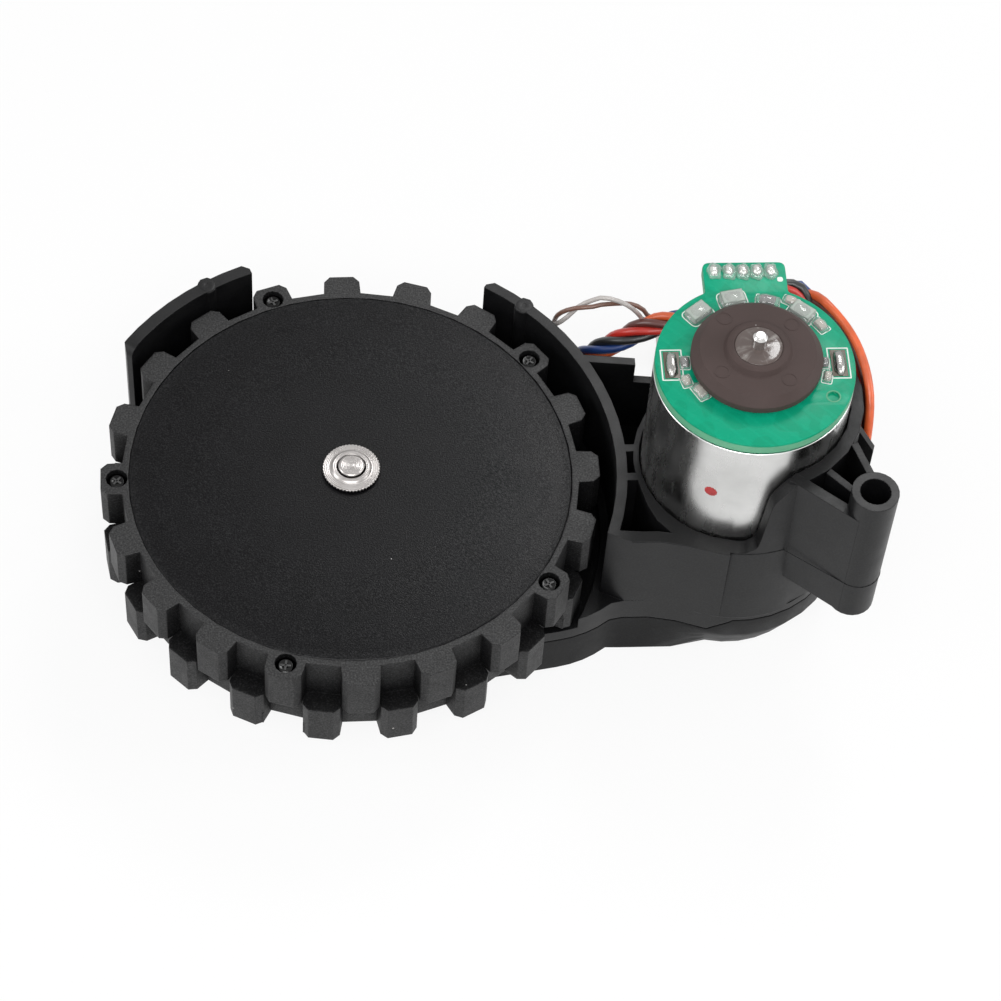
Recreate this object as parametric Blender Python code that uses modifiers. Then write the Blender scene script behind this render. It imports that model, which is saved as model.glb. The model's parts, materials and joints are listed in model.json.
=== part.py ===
"""Drive wheel module of a robot vacuum cleaner.

A moulded frame carries a toothed drive wheel on a steel axle pin, a three-stage spur gear train
under a screwed cover, and an upright motor with an encoder magnet and board on its tail.
The wheel turns about +Z, the motor stands beside it along +X, and the flat cover is underneath.
"""

import math

import bmesh
import bpy
from mathutils import Matrix, Vector

# Lengths are in millimetres and angles in degrees; MM turns a length into Blender's metres
MM = 0.001
SEAT_GAP = 0.3
EMBED = 0.8

# Lower cover and gear layers
COVER_FLOOR = 1.4
COVER_WALL = 1.3
COVER_EDGE = 0.5
# Height and set-in of the cover's side under the motor
COVER_TUCKS = ((0.0, 3.0), (0.5, 2.8), (2.5, 1.9), (4.7, 0.9), (6.7, 0.0))
CAVITY_TUCK = 2.6
TUCK_FLARE = 0.15
TUCK_SWEEP = 0.1
GEAR_LIFT = 0.4
OUTPUT_FACE = 2.1
STAGE_FACE = 1.5
LAYER_GAP = 0.2
TOP_GAP = 0.5
SEAM_RISE = 2.7
SEAM_JOG_SETBACK = 4.0
SEAM_JOG_RUN = 3.5

# Gear train, from the wheel to the motor
OUTPUT_TEETH = 47
SECOND_PINION_TEETH = 18
SECOND_GEAR_TEETH = 40
FIRST_PINION_TEETH = 12
FIRST_GEAR_TEETH = 36
MOTOR_PINION_TEETH = 12
SECOND_MODULE = 0.6
FIRST_MODULE = 0.5
TRAIN_SLACK = 0.6
SECOND_GEAR_TURN = -3.3
PRESSURE_ANGLE = 20.0
ADDENDUM = 0.85
DEDENDUM = 1.2
TOOTH_THINNING = 0.14
STRAIGHT_FLANK_TEETH = 24
GEAR_PIN_RADIUS = 1.0
GEAR_BORE_GAP = 0.2
GEAR_PIN_SINK = 0.8

# Case around the train
WHEEL_CASE_GAP = 0.7
MID_CASE_GAP = 1.9
FRONT_WALL_SET_IN = 2.6
FRONT_WALL_LENGTH = 3.6
FRONT_WALL_SWEEP = 3.8
FRONT_WALL_DROP = 0.7
FRONT_WALL_THICK = 1.5
DECK_THICK = 4.1
TRAY_FLOOR = 2.0

# Wheel
UNDER_WHEEL_GAP = 0.6
TREAD_WIDTH = 14.1
ROW_GROOVE = 0.3
LUG_COUNT = 20
LUG_HEIGHT = 2.85
LUG_BASE_WIDTH = 5.2
LUG_TIP_WIDTH = 3.35
LUG_CHAMFER = 0.9
FIRST_LUG_ANGLE = 108.8
DISC_RADIUS = 30.0
DISC_LIP = 1.2
DISC_RECESS = 2.5
DISC_DOME = 0.5
DISC_BEVEL = 1.3
DISC_BEVEL_DROP = 0.35
TYRE_WALL = 2.5
RIM_WALL = 1.9
RIM_DEPTH = 10.3
RIM_WEB = 1.8
SCREW_COUNT = 5
SCREW_REACH = 0.65
SCREW_HEAD_RADIUS = 1.25
SCREW_HEAD_HEIGHT = 0.7
SCREW_HEAD_SINK = 0.4
SCREW_SHANK_RADIUS = 0.85
SCREW_HOLE_GAP = 0.25
SCREW_BOSS_RADIUS = 2.5
EAR_HEIGHT = 2.0

# Axle and hub
AXLE_RADIUS = 2.0
AXLE_PROUD = 1.3
AXLE_BORE_GAP = 0.2
HUB_RADIUS = 5.4
HUB_HEX_RADIUS = 5.3
HUB_HEX_LENGTH = 5.2
HEX_GAP = 0.35
BUSH_WALL = 1.5
BUSH_GAP = 0.15
BUSH_LENGTH = 4.6
BUSH_SEAT_WALL = 1.5
RIM_HUB_WALL = 2.2
WASHER_RADIUS = 3.95
WASHER_THICK = 0.5
WASHER_TEETH = 24
WASHER_TOOTH = 0.18

# Walls round the wheel
WALL_CLEARANCE = 2.15
WALL_THICK = 1.5
WALL_PROUD = 1.9
POCKET_CLEARANCE = 1.0
RIGHT_WALL_FROM = -19.2
RIGHT_WALL_TO = 57.2
WALL_END_CHAMFER = 0.9
FRONT_CORNER_REACH = 2.1
FRONT_CORNER_TURN = 0.6
LEFT_WALL_FROM = 111.5
LEFT_WALL_TO = 146.6
LEFT_WALL_SET_IN = 0.3
LEFT_WALL_FILLET = 1.5
RIGHT_RIB_ANGLE = 47.2
LEFT_RIB_ANGLE = 121.9
WALL_RIB_RADIUS = 1.35
BACK_WALL_THICK = 1.2
BACK_WALL_STEP = 4.0
BACK_WALL_STEP_SETBACK = 12.9
BACK_WALL_ANGLE = 32.0
WEB_THICK = 1.2
WEB_OFFSETS = (2.1, -2.7)

# Motor and its cup
CAN_RADIUS = 13.35
CAN_LENGTH = 33.8
CAN_EDGE = 1.2
CAN_MOUTH = 3.0
CAN_LIP = 0.95
CUP_GAP = 0.3
CUP_SKIN = 1.65
CUP_WALL_FOOT = 2.45
CUP_WALL_TOP = 1.75
CUP_WALL_THIN = 0.8
COLLAR_RISE = 14.4
COLLAR_FRONT_FROM = -96.0
COLLAR_FRONT_TO = -66.0
COLLAR_STEP = 0.55
COLLAR_STEP_FROM = -87.0
COLLAR_STEP_TO = -81.0
COLLAR_BACK_FROM = 62.0
COLLAR_BACK_TO = 88.0
SHAFT_RADIUS = 1.0
SHAFT_GAP = 0.3
SHAFT_PROUD = 3.2
BEARING_RADIUS = 3.3
BEARING_GAP = 0.4

# Encoder
BOARD_GAP = 0.3
BOARD_THICK = 1.6
BOARD_SET_IN = 0.05
BOARD_TAB_WIDTH = 11.2
BOARD_TAB_LENGTH = 3.9
BOARD_TAB_CORNER = 1.0
BOARD_BORE = 3.6
BOARD_HOLE_RADIUS = 0.9
BOARD_HOLE_SET_IN = 2.1
BOARD_HOLE_ANGLE = -29.0
TERMINAL_SET_IN = 2.25
TERMINAL_WIDTH = 3.4
TERMINAL_THICK = 0.6
TERMINAL_PROUD = 1.2
TERMINAL_FOOT = 2.0
SLOT_GAP = 0.3
MAGNET_GAP = 1.0
MAGNET_RADIUS = 8.75
MAGNET_FACE_RADIUS = 7.7
MAGNET_RIM = 1.0
MAGNET_CHAMFER = 1.1
MAGNET_HUB_RADIUS = 4.2
MAGNET_HUB_HEIGHT = 0.9
SENSOR_SIZE = (3.0, 2.0, 0.8)
SENSOR_SET_IN = 2.3
SENSOR_ANGLES = (129.0, 101.0, 50.0)

# Bracket with the fixing tube
TUBE_STANDOFF = 7.1
TUBE_ANGLE = -51.6
TUBE_RADIUS = 3.15
TUBE_BORE = 2.05
TUBE_RISE = 3.4
TUBE_DROP = 0.3
BRACKET_HEIGHT = 21.1
BRACKET_PLATE = 1.5
BRACKET_RIB = 1.0
BRACKET_FLOOR = 1.5
PLATE_CUP_ANGLE = -69.7
RIB_CUP_ANGLES = (-53.0, -31.0)
RIB_TUBE_ANGLES = (128.0, 62.0)
FIN_ANGLE = -17.0
FIN_REACH = 2.3
FIN_THICK = 1.0
FIN_DROP = 5.2
FIN_HEIGHT = 10.5

# Cover screws
POST_RADIUS = 2.6
POST_SPREAD = 7.0
POST_SETBACK = 6.0
EAR_SCREW_ANGLES = (69.0, 152.0)
EAR_SCREW_REACH = 2.4
COVER_SCREW_SHANK = 0.95
COVER_SCREW_HEAD = 1.9
COVER_SCREW_HEAD_HEIGHT = 0.9
COVER_SCREW_LENGTH = 9.6

# Leads
BUNDLE_RADIUS = 1.7
PAIR_RADIUS = 0.85
PLUG_SIZE = (12.0, 5.6, 5.4)

# Levels above the underside
OUTPUT_Z = COVER_FLOOR + GEAR_LIFT
SECOND_Z = OUTPUT_Z + OUTPUT_FACE + LAYER_GAP
FIRST_Z = SECOND_Z + STAGE_FACE + LAYER_GAP
SEAM_Z = FIRST_Z + STAGE_FACE + TOP_GAP
TRAY_TOP = SEAM_Z + TRAY_FLOOR
DECK_TOP = SEAM_Z + DECK_THICK
TYRE_BOTTOM = TRAY_TOP + UNDER_WHEEL_GAP
TYRE_TOP = TYRE_BOTTOM + TREAD_WIDTH
WALL_TOP = TYRE_TOP + WALL_PROUD
COLLAR_TOP = WALL_TOP + COLLAR_RISE
CAN_BOTTOM = DECK_TOP + SEAT_GAP
CAN_TOP = CAN_BOTTOM + CAN_LENGTH
BOARD_BOTTOM = CAN_TOP + BOARD_GAP
BOARD_TOP = BOARD_BOTTOM + BOARD_THICK
MAGNET_BOTTOM = BOARD_TOP + MAGNET_GAP
MAGNET_TOP = MAGNET_BOTTOM + MAGNET_RIM + MAGNET_CHAMFER
SHAFT_TOP = MAGNET_TOP + SHAFT_PROUD
BRACKET_TOP = COLLAR_TOP
BRACKET_BOTTOM = BRACKET_TOP - BRACKET_HEIGHT


def polar(radius, angle, centre=(0.0, 0.0)):
    """Point at a radius and an angle in degrees from a centre."""
    turn = math.radians(angle)
    return (centre[0] + radius * math.cos(turn), centre[1] + radius * math.sin(turn))


def third_axis(first, first_reach, second, second_reach):
    """Axis at two given distances from two others, on the +Y side of their line."""
    dx = second[0] - first[0]
    dy = second[1] - first[1]
    span = math.hypot(dx, dy)
    along = (span ** 2 + first_reach ** 2 - second_reach ** 2) / (2 * span)
    aside = math.sqrt(first_reach ** 2 - along ** 2)
    return (first[0] + (along * dx - aside * dy) / span, first[1] + (along * dy + aside * dx) / span)


# Radii of the wheel and of what stands round it
TREAD_RADIUS = DISC_RADIUS + DISC_LIP
LUG_TIP_RADIUS = TREAD_RADIUS + LUG_HEIGHT
SCREW_CIRCLE = TREAD_RADIUS + SCREW_REACH
TYRE_BORE = TREAD_RADIUS - TYRE_WALL
RIM_RADIUS = TYRE_BORE - SEAT_GAP
WALL_INNER = LUG_TIP_RADIUS + WALL_CLEARANCE
WALL_OUTER = WALL_INNER + WALL_THICK
POCKET_RADIUS = LUG_TIP_RADIUS + POCKET_CLEARANCE
CUP_INNER = CAN_RADIUS + CUP_GAP
CUP_OUTER = CUP_INNER + CUP_WALL_FOOT

# Axes in plan: the motor stands against the wheel's wall, and the output stage spans the rest
WHEEL_AXIS = (0.0, 0.0)
MOTOR_X = WALL_OUTER + CUP_SKIN + CUP_INNER
MOTOR_AXIS = (MOTOR_X, 0.0)
SECOND_REACH = SECOND_MODULE * (SECOND_GEAR_TEETH + FIRST_PINION_TEETH) / 2
FIRST_REACH = FIRST_MODULE * (FIRST_GEAR_TEETH + MOTOR_PINION_TEETH) / 2
OUTPUT_REACH = MOTOR_X + TRAIN_SLACK - SECOND_REACH - FIRST_REACH
OUTPUT_MODULE = 2 * OUTPUT_REACH / (OUTPUT_TEETH + SECOND_PINION_TEETH)
SECOND_AXIS = polar(OUTPUT_REACH, SECOND_GEAR_TURN)
FIRST_AXIS = third_axis(SECOND_AXIS, SECOND_REACH, MOTOR_AXIS, FIRST_REACH)
TUBE_AXIS = polar(CUP_OUTER + TUBE_STANDOFF, TUBE_ANGLE, MOTOR_AXIS)

WHEEL_CASE_RADIUS = (OUTPUT_MODULE * OUTPUT_TEETH / 2 + ADDENDUM * OUTPUT_MODULE
                     + WHEEL_CASE_GAP + COVER_WALL)
MID_CASE_RADIUS = (SECOND_MODULE * SECOND_GEAR_TEETH / 2 + ADDENDUM * SECOND_MODULE
                   + MID_CASE_GAP + COVER_WALL)
FRONT_WALL_Y = FRONT_WALL_SET_IN - CUP_OUTER
SEAM_JOG_X = MOTOR_X - SEAM_JOG_SETBACK
BUSH_BORE = HUB_RADIUS + BUSH_GAP
BUSH_RADIUS = BUSH_BORE + BUSH_WALL
BOARD_RADIUS = CAN_RADIUS - BOARD_SET_IN
BOARD_TAB_REACH = BOARD_RADIUS + BOARD_TAB_LENGTH
BOARD_HOLE_REACH = BOARD_RADIUS - BOARD_HOLE_SET_IN
TERMINAL_REACH = CAN_RADIUS - TERMINAL_SET_IN
SENSOR_REACH = BOARD_RADIUS - SENSOR_SET_IN


def clear_scene():
    """Remove every object that the scene starts with."""
    for thing in list(bpy.data.objects):
        bpy.data.objects.remove(thing, do_unlink=True)


def new_collection(name):
    """Add a collection to the scene."""
    group = bpy.data.collections.new(name)
    bpy.context.scene.collection.children.link(group)
    return group


def new_material(name, colour, roughness, metallic=0.0):
    """Principled material from its base colour, roughness and metallic value."""
    finish = bpy.data.materials.new(name)
    finish.use_nodes = True
    shader = finish.node_tree.nodes["Principled BSDF"]
    shader.inputs["Base Color"].default_value = (*colour, 1.0)
    shader.inputs["Roughness"].default_value = roughness
    shader.inputs["Metallic"].default_value = metallic
    finish.diffuse_color = (*colour, 1.0)
    return finish


def place(name, mesh, finish=None, centre=(0.0, 0.0), height=0.0):
    """Put a mesh in the parts collection, with its origin on an axis."""
    thing = bpy.data.objects.new(name, mesh)
    PARTS.objects.link(thing)
    thing.location = (centre[0] * MM, centre[1] * MM, height * MM)
    if finish is not None:
        mesh.materials.append(finish)
    return thing


def prism(name, outlines, low, high, finish=None, centre=(0.0, 0.0), turn=None):
    """Flat outline with holes, extruded between two heights as a filled 2D curve."""
    curve = bpy.data.curves.new(name, "CURVE")
    curve.dimensions = "2D"
    curve.fill_mode = "BOTH"
    curve.extrude = (high - low) / 2 * MM
    for points in outlines:
        spline = curve.splines.new("POLY")
        spline.points.add(len(points) - 1)
        for slot, (x, y) in zip(spline.points, points):
            slot.co = (x * MM, y * MM, 0.0, 1.0)
        spline.use_cyclic_u = True
    source = bpy.data.objects.new(name + "_outline", curve)
    PARTS.objects.link(source)
    bpy.context.view_layer.update()
    graph = bpy.context.evaluated_depsgraph_get()
    mesh = bpy.data.meshes.new_from_object(source.evaluated_get(graph))
    mesh.name = name
    mesh.materials.clear()
    bpy.data.objects.remove(source, do_unlink=True)
    shift = Matrix.Translation((0.0, 0.0, (low + high) / 2 * MM))
    mesh.transform(turn @ shift if turn else shift)
    tidy(mesh)
    return place(name, mesh, finish, centre)


def tidy(mesh):
    """Weld the seams of a mesh, merge its flat faces and point them out."""
    work = bmesh.new()
    work.from_mesh(mesh)
    bmesh.ops.remove_doubles(work, verts=work.verts, dist=1e-6)
    bmesh.ops.dissolve_limit(work, angle_limit=1e-3, verts=work.verts, edges=work.edges)
    bmesh.ops.recalc_face_normals(work, faces=work.faces)
    work.to_mesh(mesh)
    work.free()


def turned(name, profile, finish=None, centre=(0.0, 0.0), steps=48):
    """Closed profile of (radius, height) turned about Z, outer side first from the top down."""
    mesh = bpy.data.meshes.new(name)
    points = [(radius * MM, 0.0, height * MM) for radius, height in profile]
    count = len(points)
    solid = profile[0][0] == 0.0 and profile[-1][0] == 0.0
    last = count - 1 if solid else count
    mesh.from_pydata(points, [(i, (i + 1) % count) for i in range(last)], [])
    thing = place(name, mesh, finish, centre)
    screw = thing.modifiers.new("turn", "SCREW")
    screw.axis = "Z"
    screw.angle = 2 * math.pi
    screw.steps = steps
    screw.render_steps = steps
    screw.use_merge_vertices = True
    screw.merge_threshold = 1e-6
    screw.use_smooth_shade = True
    return thing


def cylinder(name, radius, low, high, finish=None, centre=(0.0, 0.0), steps=24):
    """Plain cylinder between two heights."""
    mesh = bpy.data.meshes.new(name)
    work = bmesh.new()
    bmesh.ops.create_cone(work, cap_ends=True, segments=steps, radius1=radius * MM,
                          radius2=radius * MM, depth=(high - low) * MM,
                          matrix=Matrix.Translation((0.0, 0.0, (low + high) / 2 * MM)))
    work.to_mesh(mesh)
    work.free()
    return place(name, mesh, finish, centre)


def box(name, size, middle, finish=None, turn=0.0, centre=(0.0, 0.0)):
    """Box of a size about its middle point, turned about Z."""
    mesh = bpy.data.meshes.new(name)
    work = bmesh.new()
    bmesh.ops.create_cube(work, size=1.0)
    bmesh.ops.scale(work, verts=work.verts, vec=[side * MM for side in size])
    bmesh.ops.rotate(work, verts=work.verts, matrix=Matrix.Rotation(math.radians(turn), 3, "Z"))
    bmesh.ops.translate(work, verts=work.verts, vec=[value * MM for value in middle])
    work.to_mesh(mesh)
    work.free()
    return place(name, mesh, finish, centre)


def loft(name, rings, finish=None, centre=(0.0, 0.0)):
    """Solid through rings of (points, height) that all have the same number of points."""
    mesh = bpy.data.meshes.new(name)
    work = bmesh.new()
    layers = [[work.verts.new((x * MM, y * MM, height * MM)) for x, y in points]
              for points, height in rings]
    for lower, upper in zip(layers[:-1], layers[1:]):
        for i in range(len(lower)):
            j = (i + 1) % len(lower)
            work.faces.new((lower[i], lower[j], upper[j], upper[i]))
    work.faces.new(list(reversed(layers[0])))
    work.faces.new(layers[-1])
    bmesh.ops.recalc_face_normals(work, faces=work.faces)
    work.to_mesh(mesh)
    work.free()
    return place(name, mesh, finish, centre)


def combine(target, tool, operation):
    """Boolean modifier on the target, with its tool kept aside as a wire guide."""
    step = target.modifiers.new(operation.lower() + "_" + tool.name, "BOOLEAN")
    step.operation = operation
    step.solver = "MANIFOLD" if target.name in CLOSE_FACED else "EXACT"
    step.object = tool
    PARTS.objects.unlink(tool)
    CUTTERS.objects.link(tool)
    tool.hide_render = True
    tool.display_type = "WIRE"
    return target


def add(target, tool):
    """Join a tool to the target."""
    return combine(target, tool, "UNION")


def cut(target, tool):
    """Cut a tool from the target."""
    return combine(target, tool, "DIFFERENCE")


def tube(name, route, radius, finish):
    """Lead along a smooth curve through its route points."""
    curve = bpy.data.curves.new(name, "CURVE")
    curve.dimensions = "3D"
    curve.bevel_depth = radius * MM
    curve.bevel_resolution = 2
    curve.use_fill_caps = True
    points = smooth_route(route, radius * 4)
    spline = curve.splines.new("POLY")
    spline.points.add(len(points) - 1)
    for slot, point in zip(spline.points, points):
        slot.co = (*(point * MM), 1.0)
    curve.materials.append(finish)
    thing = bpy.data.objects.new(name, curve)
    PARTS.objects.link(thing)
    return thing


def smooth_route(route, spacing):
    """Points at an even spacing on a smooth curve through the route's points."""
    knots = [Vector(point) for point in route]
    knots = [2 * knots[0] - knots[1]] + knots + [2 * knots[-1] - knots[-2]]
    fine = []
    for a, b, c, d in zip(knots, knots[1:], knots[2:], knots[3:]):
        for i in range(12):
            t = i / 12
            fine.append(0.5 * (2 * b + (c - a) * t + (2 * a - 5 * b + 4 * c - d) * t * t
                               + (3 * b - a - 3 * c + d) * t ** 3))
    fine.append(knots[-2])
    length = sum((q - p).length for p, q in zip(fine, fine[1:]))
    count = max(4, round(length / spacing))
    even = [fine[0]]
    walked = 0.0
    for p, q in zip(fine, fine[1:]):
        step = (q - p).length
        while step > 0 and len(even) < count and walked + step >= len(even) * length / count:
            share = (len(even) * length / count - walked) / step
            even.append(p.lerp(q, share))
        walked += step
    even.append(fine[-1])
    return even


def arc(radius, start, end, count, centre=(0.0, 0.0)):
    """Points along an arc, both ends included."""
    return [polar(radius, start + (end - start) * i / count, centre) for i in range(count + 1)]


def circle(radius, count, centre=(0.0, 0.0)):
    """Points of a whole circle."""
    return [polar(radius, 360.0 * i / count, centre) for i in range(count)]


def tangent_angle(first, first_radius, second, second_radius, side):
    """Direction in degrees of both touch points of an outer tangent of two circles."""
    dx = second[0] - first[0]
    dy = second[1] - first[1]
    lean = math.acos((first_radius - second_radius) / math.hypot(dx, dy))
    return math.degrees(math.atan2(dy, dx) + side * lean)


def case_outline(inset=0.0, tuck=0.0):
    """Outline of the gear case: three round ends, a flat front wall, and a motor end set in by the tuck."""
    wheel_end = WHEEL_CASE_RADIUS - inset
    middle = MID_CASE_RADIUS - inset
    motor_end = CUP_OUTER - inset - tuck
    back = tangent_angle(WHEEL_AXIS, WHEEL_CASE_RADIUS, MOTOR_AXIS, CUP_OUTER, 1)
    front = tangent_angle(WHEEL_AXIS, WHEEL_CASE_RADIUS, SECOND_AXIS, MID_CASE_RADIUS, -1)
    wall_start = wall_corner()[0]
    points = arc(motor_end, -104.0, back, 18, MOTOR_AXIS)
    points += arc(wheel_end, back, 360.0 + front, 16)
    points += arc(middle, front, -52.0, 4, SECOND_AXIS)
    front_y = FRONT_WALL_Y + inset - tuck * TUCK_FLARE
    points.append((wall_start, front_y))
    points.append((wall_start + FRONT_WALL_LENGTH, front_y))
    sweep_y = FRONT_WALL_Y - FRONT_WALL_DROP + inset + tuck * TUCK_SWEEP
    points.append((wall_start + FRONT_WALL_LENGTH + FRONT_WALL_SWEEP, sweep_y))
    return points


def wall_corner():
    """Outer corner where the right wheel wall meets the front wall."""
    return polar(WALL_OUTER + FRONT_CORNER_REACH, RIGHT_WALL_FROM - FRONT_CORNER_TURN)


def band(inner, outer, start, end, count, chamfer=0.0):
    """Outline of a curved wall between two radii, with its outer end corners cut off."""
    lean = math.degrees(chamfer / outer)
    points = arc(outer, start + lean, end - lean, count)
    if chamfer:
        points = [polar(outer - chamfer, start)] + points + [polar(outer - chamfer, end)]
    return points + arc(inner, end, start, count)


def gear_outline(teeth, module, phase):
    """Spur gear outline whose first tooth is at the phase angle in radians."""
    pitch = module * teeth / 2
    base = pitch * math.cos(math.radians(PRESSURE_ANGLE))
    tip = pitch + ADDENDUM * module
    root = pitch - DEDENDUM * module

    def spread(radius):
        lean = math.acos(min(1.0, base / max(radius, base)))
        return math.tan(lean) - lean

    def half_tooth(radius):
        return math.pi / (2 * teeth) - TOOTH_THINNING / (2 * pitch) + spread(pitch) - spread(radius)

    # Flanks of a large gear are nearly straight, so they need no point on the pitch circle
    flank = (root, tip) if teeth > STRAIGHT_FLANK_TEETH else (root, pitch, tip)
    points = []
    for i in range(teeth):
        middle = phase + 2 * math.pi * i / teeth
        for side, radii in ((-1, flank), (1, flank[::-1])):
            for radius in radii:
                turn = middle + side * half_tooth(radius)
                points.append((radius * math.cos(turn), radius * math.sin(turn)))
    return points


def mesh_phase(driver, driver_teeth, driver_phase, follower, follower_teeth):
    """Phase in radians that puts a follower's gap on its driver's tooth."""
    line = math.atan2(follower[1] - driver[1], follower[0] - driver[0])
    lead = ((line - driver_phase) * driver_teeth / (2 * math.pi)) % 1.0
    lag = (-lead - 0.5) % 1.0
    return line + math.pi - lag * 2 * math.pi / follower_teeth


def upright(points_height, thick, turn, name, finish=None, centre=(0.0, 0.0)):
    """Plate standing in a vertical plane through the centre, drawn as (reach, height)."""
    stand = Matrix.Rotation(math.radians(turn), 4, "Z") @ Matrix.Rotation(math.radians(90.0), 4, "X")
    return prism(name, [points_height], -thick / 2, thick / 2, finish, centre, stand)


def end_fillet(name, angle, radius):
    """Solid that rounds the top of a wheel wall's end."""
    corner = arc(radius, 90.0, 0.0, 4, (-radius, WALL_TOP - radius))
    above = [(EMBED, WALL_TOP - radius), (EMBED, WALL_TOP + EMBED), (-radius, WALL_TOP + EMBED)]
    return upright(corner + above, WALL_OUTER, angle + 90.0, name, centre=polar(WALL_INNER, angle))


def collar_height(angle):
    """Top of the motor cup at an angle: a low rim that steps up, then eases into a high collar."""
    def ease(t):
        t = min(1.0, max(0.0, t))
        return t * t * t * (10 - 15 * t + 6 * t * t)

    step = ease((angle - COLLAR_STEP_FROM) / (COLLAR_STEP_TO - COLLAR_STEP_FROM))
    rise = ease((angle - COLLAR_FRONT_FROM) / (COLLAR_FRONT_TO - COLLAR_FRONT_FROM))
    rise = COLLAR_STEP * step + (1.0 - COLLAR_STEP) * rise
    fall = ease((COLLAR_BACK_TO - angle) / (COLLAR_BACK_TO - COLLAR_BACK_FROM))
    return WALL_TOP + COLLAR_RISE * rise * fall


def cup_angles():
    """Angles of the cup wall's sections, closer together where its top rises and falls."""
    angles = [COLLAR_FRONT_FROM, (COLLAR_FRONT_FROM + COLLAR_STEP_FROM) / 2]
    angles += [COLLAR_STEP_FROM + i * (COLLAR_STEP_TO - COLLAR_STEP_FROM) / 6 for i in range(7)]
    angles += [COLLAR_STEP_TO + i * (COLLAR_FRONT_TO - COLLAR_STEP_TO) / 3 for i in range(1, 4)]
    angles += [-52.0 + 14.25 * i for i in range(8)]
    angles += [COLLAR_BACK_FROM + i * (COLLAR_BACK_TO - COLLAR_BACK_FROM) / 6 for i in range(7)]
    angles += [100.0 + 10.0 * i for i in range(16)]
    return angles


def cup_thickness(angle, height):
    """Wall thickness: tapered upwards, and thin where the cup passes close to the wheel."""
    lean = (height - DECK_TOP) / (COLLAR_TOP - DECK_TOP)
    full = CUP_WALL_FOOT + (CUP_WALL_TOP - CUP_WALL_FOOT) * lean
    near = max(0.0, 1.0 - abs(angle - 172.0) / 52.0)
    near = min(1.0, near * 2.0)
    return full + (CUP_WALL_THIN - full) * near


def build_cup():
    """Wall round the motor, lofted from sections whose top follows the collar."""
    mesh = bpy.data.meshes.new("motor_cup")
    work = bmesh.new()
    foot = DECK_TOP - EMBED
    rows = []
    for angle in cup_angles():
        top = collar_height(angle)
        corners = ((CUP_INNER, foot), (CUP_INNER, top),
                   (CUP_INNER + cup_thickness(angle, top), top),
                   (CUP_INNER + cup_thickness(angle, foot), foot))
        row = []
        for radius, height in corners:
            x, y = polar(radius, angle)
            row.append(work.verts.new((x * MM, y * MM, height * MM)))
        rows.append(row)
    for first, second in zip(rows, rows[1:] + rows[:1]):
        for i in range(4):
            j = (i + 1) % 4
            work.faces.new((first[i], first[j], second[j], second[i]))
    bmesh.ops.recalc_face_normals(work, faces=work.faces)
    work.to_mesh(mesh)
    work.free()
    return place("motor_cup", mesh, centre=MOTOR_AXIS)


def seam_profile(lift, above):
    """Side view of the stepped seam: the space above it or below it."""
    low = SEAM_Z + lift
    high = low + SEAM_RISE
    far = 120.0
    edge = high + far if above else -far
    return [(-far, edge), (-far, low), (SEAM_JOG_X, low), (SEAM_JOG_X + SEAM_JOG_RUN, high),
            (far, high), (far, edge)]


def seam_tool(name, lift, above):
    """Solid that trims a piece at the stepped seam."""
    lay = Matrix.Rotation(math.radians(90.0), 4, "X")
    return prism(name, [seam_profile(lift, above)], -60.0, 60.0, turn=lay)


def cover_screw_places():
    """Places of the four cover screws: two posts by the motor and two ears by the wheel."""
    spots = [(MOTOR_X + POST_SETBACK, POST_SPREAD), (MOTOR_X + POST_SETBACK, -POST_SPREAD)]
    spots += [polar(WHEEL_CASE_RADIUS + EAR_SCREW_REACH, angle) for angle in EAR_SCREW_ANGLES]
    return spots


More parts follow.
